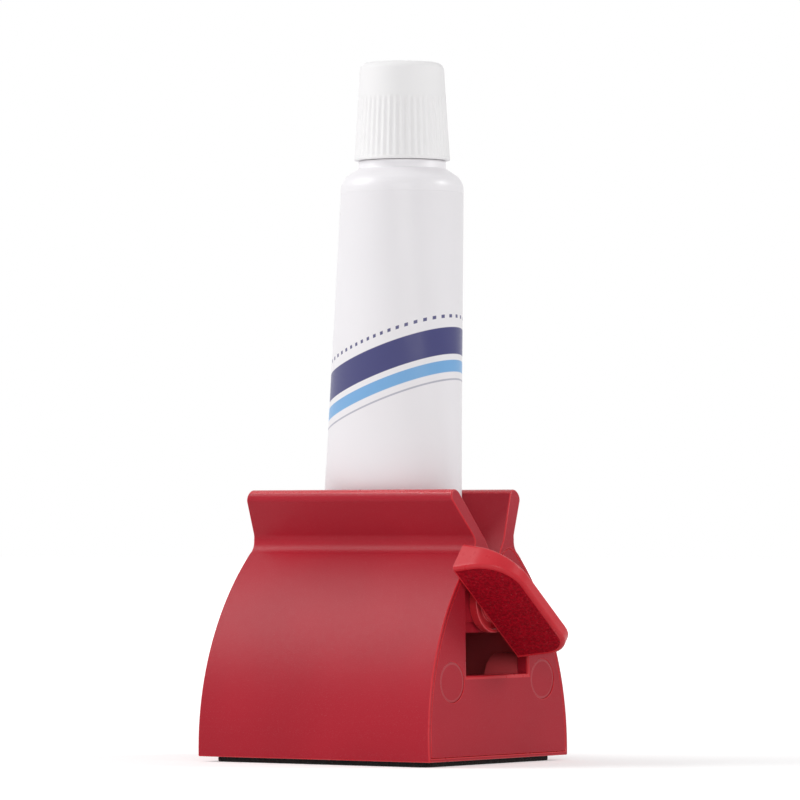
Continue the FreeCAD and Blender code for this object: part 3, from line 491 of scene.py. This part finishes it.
def printed_laminate(colours):
    """Satin laminate of the tube, with plain slanted bands and a dotted line printed round it."""
    made = Finish("printed_laminate", colours.white, 0.34, 0.3)
    made.set("Coat Weight", 0.12)
    made.set("Coat Roughness", 0.2)
    apart = made.node("ShaderNodeSeparateXYZ", {0: made.place})
    across = made.calc("MULTIPLY", apart.outputs["X"], 1 / MM)
    height = made.calc("MULTIPLY", apart.outputs["Z"], 1 / MM)
    slope = -0.34
    slanted = made.calc("MULTIPLY_ADD", across, slope, height)

    def band(value, centre, half, soft=0.08):
        """One where a value is within half of the centre, and nothing elsewhere."""
        away = made.calc("ABSOLUTE", made.calc("SUBTRACT", value, centre))
        return made.spread(away, half - soft, half + soft, 1, 0)

    inked = made.mix(made.patches(30, 2), scaled(colours.white, 0.965), colours.white)
    # Height, half width, strength and ink of each band
    bands = [
        (98.0, 3.4, 0.96, colours.navy),
        (91.6, 1.5, 0.9, colours.sky),
        (88.2, 0.22, 0.7, lifted(colours.navy, 0.3)),
    ]
    for centre, half, strength, ink in bands:
        inked = made.mix(made.calc("MULTIPLY", band(slanted, centre, half), strength), inked, ink)
    dots_round = 44
    dot_height = 104.2
    dot_half_height = 0.42
    dot_strength = 0.9
    print_axis = 4.5 * MM
    angle = made.calc("ARCTAN2", apart.outputs["Y"], made.calc("SUBTRACT", apart.outputs["X"], print_axis))
    step = made.calc("FRACT", made.calc("MULTIPLY", angle, dots_round / TURN))
    line = band(slanted, dot_height, dot_half_height)
    dots = made.calc("MULTIPLY", band(step, 0.5, 0.2, 0.03), line)
    made.set("Base Color", made.mix(made.calc("MULTIPLY", dots, dot_strength), inked, colours.navy))
    made.set("Roughness", made.patches(900, 3, 0.28, 0.4))
    made.bump(made.noise(55, 2), 0.12, 0.6 * MM)


def foam_finish(colour):
    """Black foam with open cells and pale specks of dust."""
    made = Finish("foam_cells", colour, 0.9)
    dust_and_glint_specks = made.spread(made.noise(2600, 1), 0.70, 0.78, 0, 0.5)
    made.set("Base Color", made.mix(dust_and_glint_specks, colour, lifted(colour, 0.3)))
    made.set("Roughness", made.patches(900, 2, 0.82, 0.96))
    cells = made.node("ShaderNodeTexVoronoi", {"Vector": made.place, "Scale": 1500.0})
    made.bump(cells.outputs["Distance"], 0.7, 0.3 * MM)


def paste_finish():
    """Pale gel with faint swirls."""
    made = Finish("paste_gel", (0.72, 0.84, 0.86), 0.3)
    swirl = made.spread(made.noise(120, 3), 0.35, 0.65)
    made.set("Base Color", made.mix(swirl, (0.62, 0.79, 0.84), (0.82, 0.88, 0.89)))
    made.set("Roughness", made.patches(300, 2, 0.22, 0.4))


def make_finishes(colours):
    """Makes all materials of the pieces, once."""
    if "red_plastic_blasted" in bpy.data.materials:
        return
    red = tuple(colours.red)
    # The edges' brighter red is painted highlight
    edge = tuple(colours.red_edge)
    # Pale specks of painted glint on both; on the key face, pits darkened as painted shade
    red_face("red_plastic_blasted", red, grain_scale=3000, grain_depth=0.13, roughness=0.38, painted_glint=0.14)
    red_face("red_key_face", tuple(colours.key_red), grain_scale=1250, grain_depth=1.0, roughness=0.5,
             painted_glint=0.13, gloss=0.06, painted_pit_shade=0.75)
    # Rounded edges take the brighter red as painted highlight
    smooth_red_painted_light("red_edge", edge, roughness=0.3)
    # Lip tops take the brighter edge red as painted highlight
    smooth_red_painted_light("red_lip", edge, roughness=0.28, gloss=0.5)
    # The housing's inside is brightened as painted light
    smooth_red_painted_light("red_inside", lifted(scaled(edge, 1.2), 0.06), roughness=0.16)
    # The pegs' rings are paler as painted highlight
    smooth_red_painted_light("red_ring", lifted(red, 0.03), roughness=0.4)
    plain_plastic("cap_white", tuple(colours.cap_white), roughness=0.5, shade=0.97, waviness=0.05, gloss=0.06)
    plain_plastic("shoulder_white", tuple(colours.white), roughness=0.34, shade=0.97, waviness=0.05)
    plain_plastic("liner_grey", (0.62, 0.61, 0.58), roughness=0.7, shade=0.92, waviness=0.2)
    printed_laminate(colours)
    foam_finish(tuple(colours.foam))
    paste_finish()


# Operators, one for each piece or group of like pieces

class DISPENSER_OT_housing(bpy.types.Operator):
    """Housing with rounded moulded edges and a crisp crease"""
    bl_idname = "dispenser.housing"
    bl_label = "Housing"

    def execute(self, context):
        red = RED_AND_HIGHLIT_EDGE + ["red_inside", "red_lip"]
        piece = solid_copy("housing", "housing_moulding", red)
        corner, slight = 25, 9
        end_band = 0.35
        foot_half_length, foot_half_depth = 35.8, 29.0
        crease_half_length = 34.0

        def on_end(edge):
            place = middle(edge)
            return sharp(edge, corner) and abs(place.x) > end_reach(place.z) - end_band

        def on_foot(edge):
            place = middle(edge)
            level = abs(place.z - FOOT_HEIGHT) < 0.02
            outer = abs(place.y) > foot_half_depth or abs(place.x) > foot_half_length
            return sharp(edge, corner) and level and outer

        def on_crease(edge):
            place = middle(edge)
            level = abs(place.z - CREASE_HEIGHT) < 0.05
            return sharp(edge, slight) and level and abs(place.x) < crease_half_length

        round_edges(piece, lambda e: on_end(e) or on_foot(e), context.scene.dispenser_sizes.edge_round)
        if pick(piece, "EDGE", on_crease) < 2:
            raise RuntimeError("the housing has lost its crease")
        bpy.ops.mesh.mark_sharp()
        bpy.ops.object.mode_set(mode="OBJECT")
        floor_top, end_wall, painted_highlight_band = 4.1, 33.1, 0.9
        # Faces inside the chamber take the brightened inside red as painted light
        for face in piece.data.polygons:
            place = face.center / MM
            front = math.hypot(place.y - WALL_CENTRE[0], place.z - WALL_CENTRE[1])
            rear = math.hypot(place.y + WALL_CENTRE[0], place.z - WALL_CENTRE[1])
            between = max(front, rear) < INNER_RADIUS and abs(place.x) < end_wall
            if between and floor_top < place.z < JAW_BOTTOM:
                face.material_index = red.index("red_inside")
            # Faces along the lip tops take the brighter edge red as painted highlight
            elif place.z > LIP_TOP - painted_highlight_band:
                face.material_index = red.index("red_lip")
        finish_moulding(piece, "stand", "housing")
        return {"FINISHED"}


class DISPENSER_OT_end_cover(bpy.types.Operator):
    """End cover, its two pegs and the bearing plate behind it"""
    bl_idname = "dispenser.end_cover"
    bl_label = "End cover"

    def execute(self, context):
        width = context.scene.dispenser_sizes.fine_round
        self.cover(width)
        self.pegs(width)
        self.plate(width)
        return {"FINISHED"}

    def cover(self, width):
        """The plate, with a larger rounding round its opening."""
        piece = solid_copy("end_cover", "end_cover_plate", RED_AND_HIGHLIT_EDGE)
        face_band = 0.2
        opening_half, opening_low, opening_high = 13.2, 22, 43

        def on_face(edge):
            place = middle(edge)
            return sharp(edge) and place.x > end_reach(place.z) - face_band

        def on_opening(edge):
            place = middle(edge)
            return on_face(edge) and abs(place.y) < opening_half and opening_low < place.z < opening_high

        round_edges(piece, on_opening, 3 * width, 4)
        round_edges(piece, lambda e: on_face(e) and not on_opening(e), width)
        finish_moulding(piece, "stand", "end_cover")

    def pegs(self, width):
        """The pegs, whose heads have a pale ring of painted highlight."""
        red = ["red_plastic_blasted", "red_ring"]
        piece = solid_copy("cover_pegs", "cover_peg_heads", red)
        round_edges(piece, lambda e: sharp(e), 0.4 * width)
        head_area = 50 * MM * MM
        bpy.ops.mesh.select_mode(type="FACE")
        if not pick(piece, "FACE", lambda f: f.normal.x > 0.9 and f.calc_area() > head_area):
            raise RuntimeError("the pegs have lost their heads")
        bpy.ops.mesh.inset(thickness=2.6 * width, use_even_offset=True)
        bpy.ops.object.mode_set(mode="OBJECT")
        # The ring round each head gets a paler red as painted highlight
        for face in piece.data.polygons:
            if face.normal.x > 0.5 and not face.select:
                face.material_index = red.index("red_ring")
        finish_moulding(piece, "stand", "cover_pegs")

    def plate(self, width):
        """The bearing plate, rounded where the opening shows it."""
        piece = solid_copy("bearing_plate", "spindle_plate", RED_AND_HIGHLIT_EDGE)
        shown_below, shown_from = 36, 30.5

        def shown(edge):
            place = middle(edge)
            return sharp(edge) and place.z < shown_below and place.x > shown_from

        round_edges(piece, shown, width)
        finish_moulding(piece, "stand", "bearing_plate")


class DISPENSER_OT_winding_key(bpy.types.Operator):
    """Winding key with blasted faces and smooth edges, its bush and the slotted rod"""
    bl_idname = "dispenser.winding_key"
    bl_label = "Winding key"

    def execute(self, context):
        width = context.scene.dispenser_sizes.fine_round
        self.paddle()
        flange_from = 32.25
        # The flange is the brighter edge red as painted highlight, and its rounded edges the brightened
        # inside red as painted light
        bush = solid_copy("spindle_bush", "bush_flange", ["red_edge", "red_inside"])
        round_edges(bush, lambda e: sharp(e) and middle(e).x > flange_from, width)
        finish_moulding(bush, "bush", "spindle_bush")
        slotted_to = 27
        rod = solid_copy("spindle", "slotted_rod", RED_AND_HIGHLIT_EDGE)
        round_edges(rod, lambda e: sharp(e, 60) and middle(e).x < slotted_to, 0.5 * width)
        finish_moulding(rod, "key", "spindle")
        return {"FINISHED"}

    def paddle(self):
        """The paddle: its two broad faces are blasted, within a smooth border whose brighter red is painted
        highlight.
        """
        red = ["red_key_face", "red_edge"]
        piece = solid_copy("winding_key", "key_paddle", red)
        turn = math.radians(KEY_ANGLE)
        across = Vector((0, math.sin(turn), math.cos(turn)))
        broad_area = 100 * MM * MM
        border = 0.35 * MM

        def broad(face):
            return abs(face.normal.dot(across)) > 0.97 and face.calc_area() > broad_area

        bpy.ops.mesh.select_mode(type="FACE")
        if not pick(piece, "FACE", broad):
            raise RuntimeError("the key has no broad face")
        bpy.ops.mesh.inset(thickness=border, use_even_offset=True)
        bpy.ops.object.mode_set(mode="OBJECT")
        for face in piece.data.polygons:
            face.material_index = red.index("red_key_face" if face.select else "red_edge")
        finish_moulding(piece, "key", "winding_key")


class DISPENSER_OT_base_pad(bpy.types.Operator):
    """Foam pad, pressed a little under the housing's weight"""
    bl_idname = "dispenser.base_pad"
    bl_label = "Foam pad"

    def execute(self, context):
        low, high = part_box("base_pad")
        rest()
        bpy.ops.mesh.primitive_plane_add(size=1, location=(0, 0, 0))
        piece = bpy.context.object
        piece.name = "foam_pad"
        edit(piece, "VERT")
        bpy.ops.mesh.select_all(action="SELECT")
        bpy.ops.transform.resize(value=(high.x - low.x, high.y - low.y, 1), center_override=(0, 0, 0))
        corner = 3 * MM
        bpy.ops.mesh.bevel(offset=corner, offset_type="OFFSET", segments=10, affect="VERTICES")
        bpy.ops.mesh.select_all(action="SELECT")
        inset = 0.12 * MM
        bulge = 1 / (1 - 2 * inset / (high.x - low.x))
        bpy.ops.transform.resize(value=(1 / bulge, 1 / bulge, 1), center_override=(0, 0, 0))
        # Shares of the height, and of the bulge there
        levels = [0.0, 0.15, 0.5, 0.85, 1.0]
        swell = [0.0, 0.6, 1.0, 0.6, 0.0]
        for index in range(1, len(levels)):
            rise = (levels[index] - levels[index - 1]) * (high.z - low.z)
            now = 1 + (bulge - 1) * swell[index]
            before = 1 + (bulge - 1) * swell[index - 1]
            bpy.ops.mesh.extrude_region_move(TRANSFORM_OT_translate={"value": (0, 0, rise)})
            bpy.ops.transform.resize(value=(now / before, now / before, 1), center_override=(0, 0, 0))
        face_outwards()
        finish_piece(piece, "stand", "foam_cells", ["base_pad"], smooth=40)
        return {"FINISHED"}


def tube_half_depth(height):
    """Half depth of the tube at a height, all in millimetres."""
    if height >= WAIST_HEIGHT:
        swelling = 1.735
        left = (SLEEVE_TOP - height) / (SLEEVE_TOP - WAIST_HEIGHT)
        return WAIST_HALF_DEPTH + (TUBE_RADIUS - WAIST_HALF_DEPTH) * (1 - left ** swelling)
    # Height, half depth and slope at the knots of the curve between throat and waist
    knots = [
        (THROAT_HEIGHT, 0.4, 0.75),
        (54.0, 2.3, 0.75),
        (57.0, 4.2, 0.6),
        (61.0, 6.55, 0.5),
        (WAIST_HEIGHT, WAIST_HALF_DEPTH, 0.152),
    ]
    for (z0, b0, s0), (z1, b1, s1) in zip(knots, knots[1:]):
        if height <= z1:
            break
    span = z1 - z0
    t = (height - z0) / span
    low = b0 * (1 + 2 * t) * (1 - t) ** 2 + s0 * span * t * (1 - t) ** 2
    high = b1 * t * t * (3 - 2 * t) - s1 * span * t * t * (1 - t)
    return low + high


def tube_half_width(half_depth):
    """Half width of the flattened tube, whose girth stays about that of the round one."""
    spreading = 0.68
    flat = max(1 - half_depth / TUBE_RADIUS, 0)
    return TUBE_RADIUS * (1 + (math.pi / 2 - 1) * flat ** spreading)


def tube_middle(height):
    """Where the tube's middle stands along the housing at a height."""
    share = (height - THROAT_HEIGHT) / (SLEEVE_TOP - THROAT_HEIGHT)
    return TAIL_MIDDLE + (TUBE_AXIS - TAIL_MIDDLE) * share


def draw_tube_down(heights, inset, start):
    """Draws the selected ring down the tube, an inset inside its skin."""
    wide, deep, level = start
    for height in heights:
        half_depth = tube_half_depth(height)
        next_wide = tube_half_width(half_depth) - inset
        next_deep = half_depth - inset
        shift = tube_middle(height) - tube_middle(level)
        next_ring((shift, 0, height - level), (next_wide / wide, next_deep / deep, 1),
                  (tube_middle(height), 0, height))
        wide, deep, level = next_wide, next_deep, height


class DISPENSER_OT_tube_sleeve(bpy.types.Operator):
    """Laminate sleeve of the tube, round at the top and drawn flat through the lips to the roll"""
    bl_idname = "dispenser.tube_sleeve"
    bl_label = "Tube sleeve"

    def execute(self, context):
        piece = first_ring("tube_skin", (TUBE_AXIS, 0, SLEEVE_TOP), TUBE_RADIUS, TUBE_STEPS)
        above = [SLEEVE_TOP - step * 2.0 for step in range(1, 38)]
        below = [66.5, 64.0, 62.0, 60.0, 58.0, 56.5, 55.0, 54.0, 53.0, THROAT_HEIGHT]
        draw_tube_down(above + below, 0, (TUBE_RADIUS, TUBE_RADIUS, SLEEVE_TOP))
        self.draw_tail()
        bpy.ops.mesh.edge_face_add()
        pick(piece, "EDGE", lambda e: all(abs(v.co.z / MM - SLEEVE_TOP) < 1e-3 for v in e.verts))
        wall = 0.4
        bore = TUBE_RADIUS - wall
        share = bore / TUBE_RADIUS
        next_ring((0, 0, 0), (share, share, 1), (TUBE_AXIS, 0, SLEEVE_TOP))
        inside = [141.0, 138.0, 130.0, 120.0, 110.0, 100.0, 90.0, 80.0, 72.0, 66.0, 61.0, 57.0]
        draw_tube_down(inside, wall, (bore, bore, SLEEVE_TOP))
        bpy.ops.mesh.edge_face_add()
        face_outwards()
        finish_piece(piece, "stand", "printed_laminate", ["tube_sleeve"], smooth=50)
        return {"FINISHED"}

    def draw_tail(self):
        """Draws the flat tail on from the throat, straight to the roll and then along it."""
        radius = 6.7
        drop = JAW_BOTTOM - AXIS_HEIGHT
        lean = math.asin(radius / drop)
        run = drop * math.cos(lean)
        # Depth, height and turn of each ring
        path = [(0.0, JAW_BOTTOM, lean / 2)]
        for share in (0.5, 1.0):
            path.append((run * share * math.sin(lean), JAW_BOTTOM - run * share * math.cos(lean), lean))
        for share in (0.33, 0.66, 1.0):
            angle = lean * (1 - share)
            path.append((radius * math.cos(angle), AXIS_HEIGHT + radius * math.sin(angle), angle))
        y, z, turn = 0.0, THROAT_HEIGHT, 0.0
        for next_y, next_z, next_turn in path:
            next_ring((0, next_y - y, next_z - z))
            bpy.ops.transform.rotate(
                value=-(next_turn - turn), orient_axis="X",
                center_override=(0, next_y * MM, next_z * MM))
            y, z, turn = next_y, next_z, next_turn


class DISPENSER_OT_tail_roll(bpy.types.Operator):
    """Tail of the tube, two layers of laminate through the slot and round the rod"""
    bl_idname = "dispenser.tail_roll"
    bl_label = "Tail roll"

    def execute(self, context):
        points = self.spiral()
        rest()
        start_y, start_z = points[0]
        place = (TAIL_LEFT * MM, start_y * MM, (AXIS_HEIGHT + start_z) * MM)
        bpy.ops.mesh.primitive_plane_add(size=MM, location=place)
        piece = bpy.context.object
        piece.name = "wound_tail"
        bpy.ops.object.transform_apply(location=True, rotation=False, scale=False)
        edit(piece, "VERT")
        bpy.ops.mesh.select_all(action="SELECT")
        bpy.ops.mesh.merge(type="CENTER")
        for (y0, z0), (y1, z1) in zip(points, points[1:]):
            next_ring((0, y1 - y0, z1 - z0))
        bpy.ops.mesh.select_mode(type="EDGE")
        bpy.ops.mesh.select_all(action="SELECT")
        slices = 8
        width = (TAIL_RIGHT - TAIL_LEFT) / slices
        for _ in range(slices):
            next_ring((width, 0, 0))
        take(piece)
        bpy.ops.object.modifier_add(type="SOLIDIFY")
        layers = piece.modifiers[-1]
        layers.thickness = 0.74 * MM
        layers.offset = 0
        bpy.ops.object.modifier_apply(modifier=layers.name)
        edit(piece)
        face_outwards()
        round_edges(piece, lambda e: sharp(e, 50), 0.14 * MM, 2, 0)
        finish_piece(piece, "tail", "printed_laminate", ["tail_roll"], smooth=45)
        return {"FINISHED"}

    def spiral(self):
        """Points (y, z) about the rod's axis: through the slot, then three half turns round the rod."""
        rod, gap, half_layer, half_pitch = 3.6, 0.3, 0.4, 0.625
        first = rod + gap + half_layer
        points = [(rod - half_layer, 0.0), (0.0, 0.0), (-rod, 0.0), (-first + 0.15, -0.25)]
        half_turns = [(0.0, first), (-half_pitch, first + half_pitch), (0.0, first + 2 * half_pitch)]
        steps = 14
        for half, (centre, radius) in enumerate(half_turns):
            first_step = 1 if half else 2
            for step in range(first_step, steps + 1):
                angle = math.pi * (1 + half + step / steps)
                points.append((centre + radius * math.cos(angle), radius * math.sin(angle)))
        return points


class DISPENSER_OT_paste(bpy.types.Operator):
    """Paste inside the tube"""
    bl_idname = "dispenser.paste"
    bl_label = "Paste"

    def execute(self, context):
        piece = solid_copy("paste_fill", "paste_body", ["paste_gel"])
        finish_piece(piece, "stand", nodes=["paste_fill"], smooth=60)
        return {"FINISHED"}


class DISPENSER_OT_tube_shoulder(bpy.types.Operator):
    """Shoulder of the tube with its ring, nozzle and screw thread"""
    bl_idname = "dispenser.tube_shoulder"
    bl_label = "Tube shoulder"

    def execute(self, context):
        slope, corner, corner_height = 34.0, 4.5, 143.77
        # Points (r, z) of the outside, from the skirt up to the mouth
        skirt = [(13.35, 139.0), (14.6, 139.0), (14.75, 139.15), (14.75, 142.9)]
        skirt += [(15.42, 142.95), (15.5, 143.05)]
        rounding = arc(TUBE_RADIUS - corner, corner_height, corner, 0, 90 - slope, 9)
        ring = [(11.6, 148.8), (11.1, 149.15), (11.0, 149.4), (11.0, 150.75), (10.9, 151.0), (10.65, 151.1)]
        nozzle = [(8.3, 151.1), (7.9, 151.2), (7.75, 151.5), (7.75, 159.3), (7.6, 159.65), (7.25, 159.8)]
        mouth = [(4.5, 159.8), (4.15, 159.7), (4.0, 159.4)]
        inside = [(13.35, 145.92), (11.0, 147.51), (4.0, 147.51), (4.0, 159.4)]
        piece = lathe("shoulder_nozzle", skirt + rounding + ring + nozzle + mouth, inside, TUBE_STEPS)
        finish_piece(piece, "stand", "shoulder_white", ["tube_shoulder"], smooth=32)
        thread = screw_thread(
            "nozzle_thread", radius=7.6, crest=8.45, width=1.2, start_height=153.0, turns=1.75,
            pitch=context.scene.dispenser_sizes.thread_pitch, start_angle=0.0)
        finish_piece(thread, "stand", "shoulder_white", smooth=30)
        return {"FINISHED"}


class DISPENSER_OT_cap(bpy.types.Operator):
    """Ribbed screw cap with its inner thread, and the sealing disc"""
    bl_idname = "dispenser.cap"
    bl_label = "Cap"

    def execute(self, context):
        sizes = context.scene.dispenser_sizes
        piece = self.shell(sizes)
        finish_piece(piece, "cap", "cap_white", ["cap"], smooth=28)
        thread = screw_thread(
            "cap_thread", radius=9.25, crest=8.3, width=1.1, start_height=152.9, turns=2.2,
            pitch=sizes.thread_pitch, start_angle=math.pi)
        finish_piece(thread, "cap", "cap_white", smooth=30)
        disc = solid_copy("cap_liner", "sealing_disc", ["liner_grey"])
        round_edges(disc, lambda e: sharp(e, 40), 0.15 * MM, 2, 0)
        finish_piece(disc, "liner", nodes=["cap_liner"])
        return {"FINISHED"}

    def shell(self, sizes):
        """The cap's shell: turned with a tapered wall, then pressed in between the ribs."""
        per_rib = 6
        steps = sizes.rib_count * per_rib
        base, top, edge = 12.1, 10.5, 2.0
        taper = (base - top) / (CAP_TOP - CAP_BOTTOM)

        def wall(height):
            return base - taper * (height - CAP_BOTTOM)

        bore, crown = 9.1, CAP_TOP - 2.0
        dish, centre = CAP_TOP - 0.16, 0.001
        side_levels = [151.5, 151.9, 152.3, 156.0, 160.0, 163.5, 166.3, 167.1, 167.6, 170.5]
        outside = [(bore, 151.35), (9.25, CAP_BOTTOM), (11.8, CAP_BOTTOM), (12.0, 151.27)]
        outside += [(wall(level), level) for level in side_levels]
        outside += arc(wall(CAP_TOP - edge) - edge, CAP_TOP - edge, edge, 0, 84, 7)
        outside += [(8.0, CAP_TOP - 0.02), (7.2, CAP_TOP - 0.1), (4.0, dish), (centre, dish)]
        inside = [(bore, 161.0), (6.5, 161.0), (6.5, crown - 0.3), (6.2, crown), (centre, crown)]
        piece = lathe("cap_shell", outside, inside, steps)
        ribs_from, ribs_to, outer_from = 152.2, 166.5, 10.6
        rib_middle = 159.0

        def on_steps(*wanted):
            """Picks the points of the ribbed wall that stand at some steps of each rib."""
            def on_them(vert):
                place = vert.co / MM
                radius = math.hypot(place.x - TUBE_AXIS, place.y)
                step = round(math.atan2(place.y, place.x - TUBE_AXIS) / TURN * steps) % per_rib
                return step in wanted and ribs_from < place.z < ribs_to and radius > outer_from
            return on_them

        bpy.ops.mesh.select_mode(type="VERT")
        for share, slope_or_floor in ((0.5, on_steps(2, 5)), (1.0, on_steps(3, 4))):
            pick(piece, "VERT", slope_or_floor)
            scale = 1 - share * sizes.rib_depth / (wall(rib_middle) * MM)
            bpy.ops.transform.resize(value=(scale, scale, 1), center_override=(TUBE_AXIS * MM, 0, 0))
        return piece


class DISPENSER_OT_stage(bpy.types.Operator):
    """White floor, soft light and the camera"""
    bl_idname = "dispenser.stage"
    bl_label = "Stage"

    def execute(self, context):
        scene = context.scene
        scene.view_settings.view_transform = "Standard"
        rest()
        bpy.ops.mesh.primitive_grid_add(x_subdivisions=4, y_subdivisions=4, size=FLOOR_SIZE)
        floor = context.object
        floor.name = "studio_floor"
        floor.data.materials.append(self.floor_finish())
        self.air(scene)
        for name, place, target, size, power in LAMPS:
            data = bpy.data.lights.new(name, "AREA")
            data.size = size
            data.energy = power
            self.aim(scene, name, data, place, Vector(target) - Vector(place))
        data = bpy.data.cameras.new("camera")
        data.lens = CAMERA_LENS
        data.sensor_width = SENSOR_WIDTH
        data.clip_start = 0.05
        data.clip_end = 50.0
        camera = self.aim(scene, "camera", data, CAMERA_PLACE, Vector(CAMERA_LOOK), CAMERA_ROLL)
        scene.camera = camera
        return {"FINISHED"}

    def aim(self, scene, name, data, place, look, roll=0.0):
        """Puts a lamp or camera at a place, looking along a direction, with a roll in degrees."""
        made = bpy.data.objects.new(name, data)
        scene.collection.objects.link(made)
        made.location = place
        made.rotation_mode = "QUATERNION"
        made.rotation_quaternion = look.to_track_quat("-Z", "Y") @ Quaternion((0, 0, 1), math.radians(roll))
        return made

    def floor_finish(self):
        """White floor that shows whiter to the camera and in gloss, the more so far off."""
        made = Finish("studio_white", (0.8, 0.8, 0.8), 1.0, 0.0)
        rays = made.node("ShaderNodeLightPath")
        seen = made.calc("MAXIMUM", rays.outputs["Is Camera Ray"], rays.outputs["Is Glossy Ray"])
        away = made.node("ShaderNodeVectorMath", {0: made.place}, operation="LENGTH")
        fade = made.spread(away.outputs["Value"], 0.15, 1.6, 0.38, 1.0)
        glow = made.node("ShaderNodeEmission", {"Strength": made.calc("MULTIPLY", seen, fade)})
        both = made.node("ShaderNodeAddShader", {0: made.shader.outputs[0], 1: glow.outputs[0]})
        made.feed(made.tree.nodes["Material Output"].inputs["Surface"], both.outputs[0])
        return made.material

    def air(self, scene):
        """Dim air as a light, which the camera, glass and gloss see as white."""
        scene.world = bpy.data.worlds.new("studio_air")
        scene.world.use_nodes = True
        made = Nodes(scene.world.node_tree)
        dim = made.tree.nodes["Background"]
        made.feed(dim.inputs["Color"], (1, 1, 1, 1))
        made.feed(dim.inputs["Strength"], AIR_LIGHT)
        white = made.node("ShaderNodeBackground", {"Color": (1, 1, 1, 1), "Strength": 1.0})
        rays = made.node("ShaderNodeLightPath")
        seen = made.calc("MAXIMUM", rays.outputs["Is Camera Ray"], rays.outputs["Is Transmission Ray"])
        seen = made.calc("MAXIMUM", seen, rays.outputs["Is Glossy Ray"])
        choose = made.node("ShaderNodeMixShader", {0: seen, 1: dim.outputs[0], 2: white.outputs[0]})
        made.feed(made.tree.nodes["World Output"].inputs["Surface"], choose.outputs[0])


PIECES = [
    DISPENSER_OT_housing,
    DISPENSER_OT_end_cover,
    DISPENSER_OT_winding_key,
    DISPENSER_OT_base_pad,
    DISPENSER_OT_tube_sleeve,
    DISPENSER_OT_tail_roll,
    DISPENSER_OT_paste,
    DISPENSER_OT_tube_shoulder,
    DISPENSER_OT_cap,
    DISPENSER_OT_stage,
]


class DISPENSER_PT_pieces(bpy.types.Panel):
    """Pieces, sizes and colours of the dispenser"""
    bl_idname = "DISPENSER_PT_pieces"
    bl_label = "Dispenser"
    bl_space_type = "VIEW_3D"
    bl_region_type = "UI"
    bl_category = "Dispenser"

    def draw(self, context):
        layout = self.layout
        for group in (context.scene.dispenser_sizes, context.scene.dispenser_colours):
            box = layout.box()
            for name in group.bl_rna.properties.keys():
                if name not in ("rna_type", "name"):
                    box.prop(group, name)
        for piece in PIECES:
            layout.operator(piece.bl_idname)


CLASSES = [DispenserSizes, DispenserColours] + PIECES + [DISPENSER_PT_pieces]


def register():
    for item in CLASSES:
        bpy.utils.register_class(item)
    bpy.types.Scene.dispenser_sizes = bpy.props.PointerProperty(type=DispenserSizes)
    bpy.types.Scene.dispenser_colours = bpy.props.PointerProperty(type=DispenserColours)


def unregister():
    del bpy.types.Scene.dispenser_colours
    del bpy.types.Scene.dispenser_sizes
    for item in reversed(CLASSES):
        bpy.utils.unregister_class(item)


def main():
    register()
    make_finishes(bpy.context.scene.dispenser_colours)
    bpy.ops.dispenser.housing()
    bpy.ops.dispenser.end_cover()
    bpy.ops.dispenser.winding_key()
    bpy.ops.dispenser.base_pad()
    bpy.ops.dispenser.tube_sleeve()
    bpy.ops.dispenser.tail_roll()
    bpy.ops.dispenser.paste()
    bpy.ops.dispenser.tube_shoulder()
    bpy.ops.dispenser.cap()
    bpy.ops.dispenser.stage()


if __name__ == "__main__":
    main()
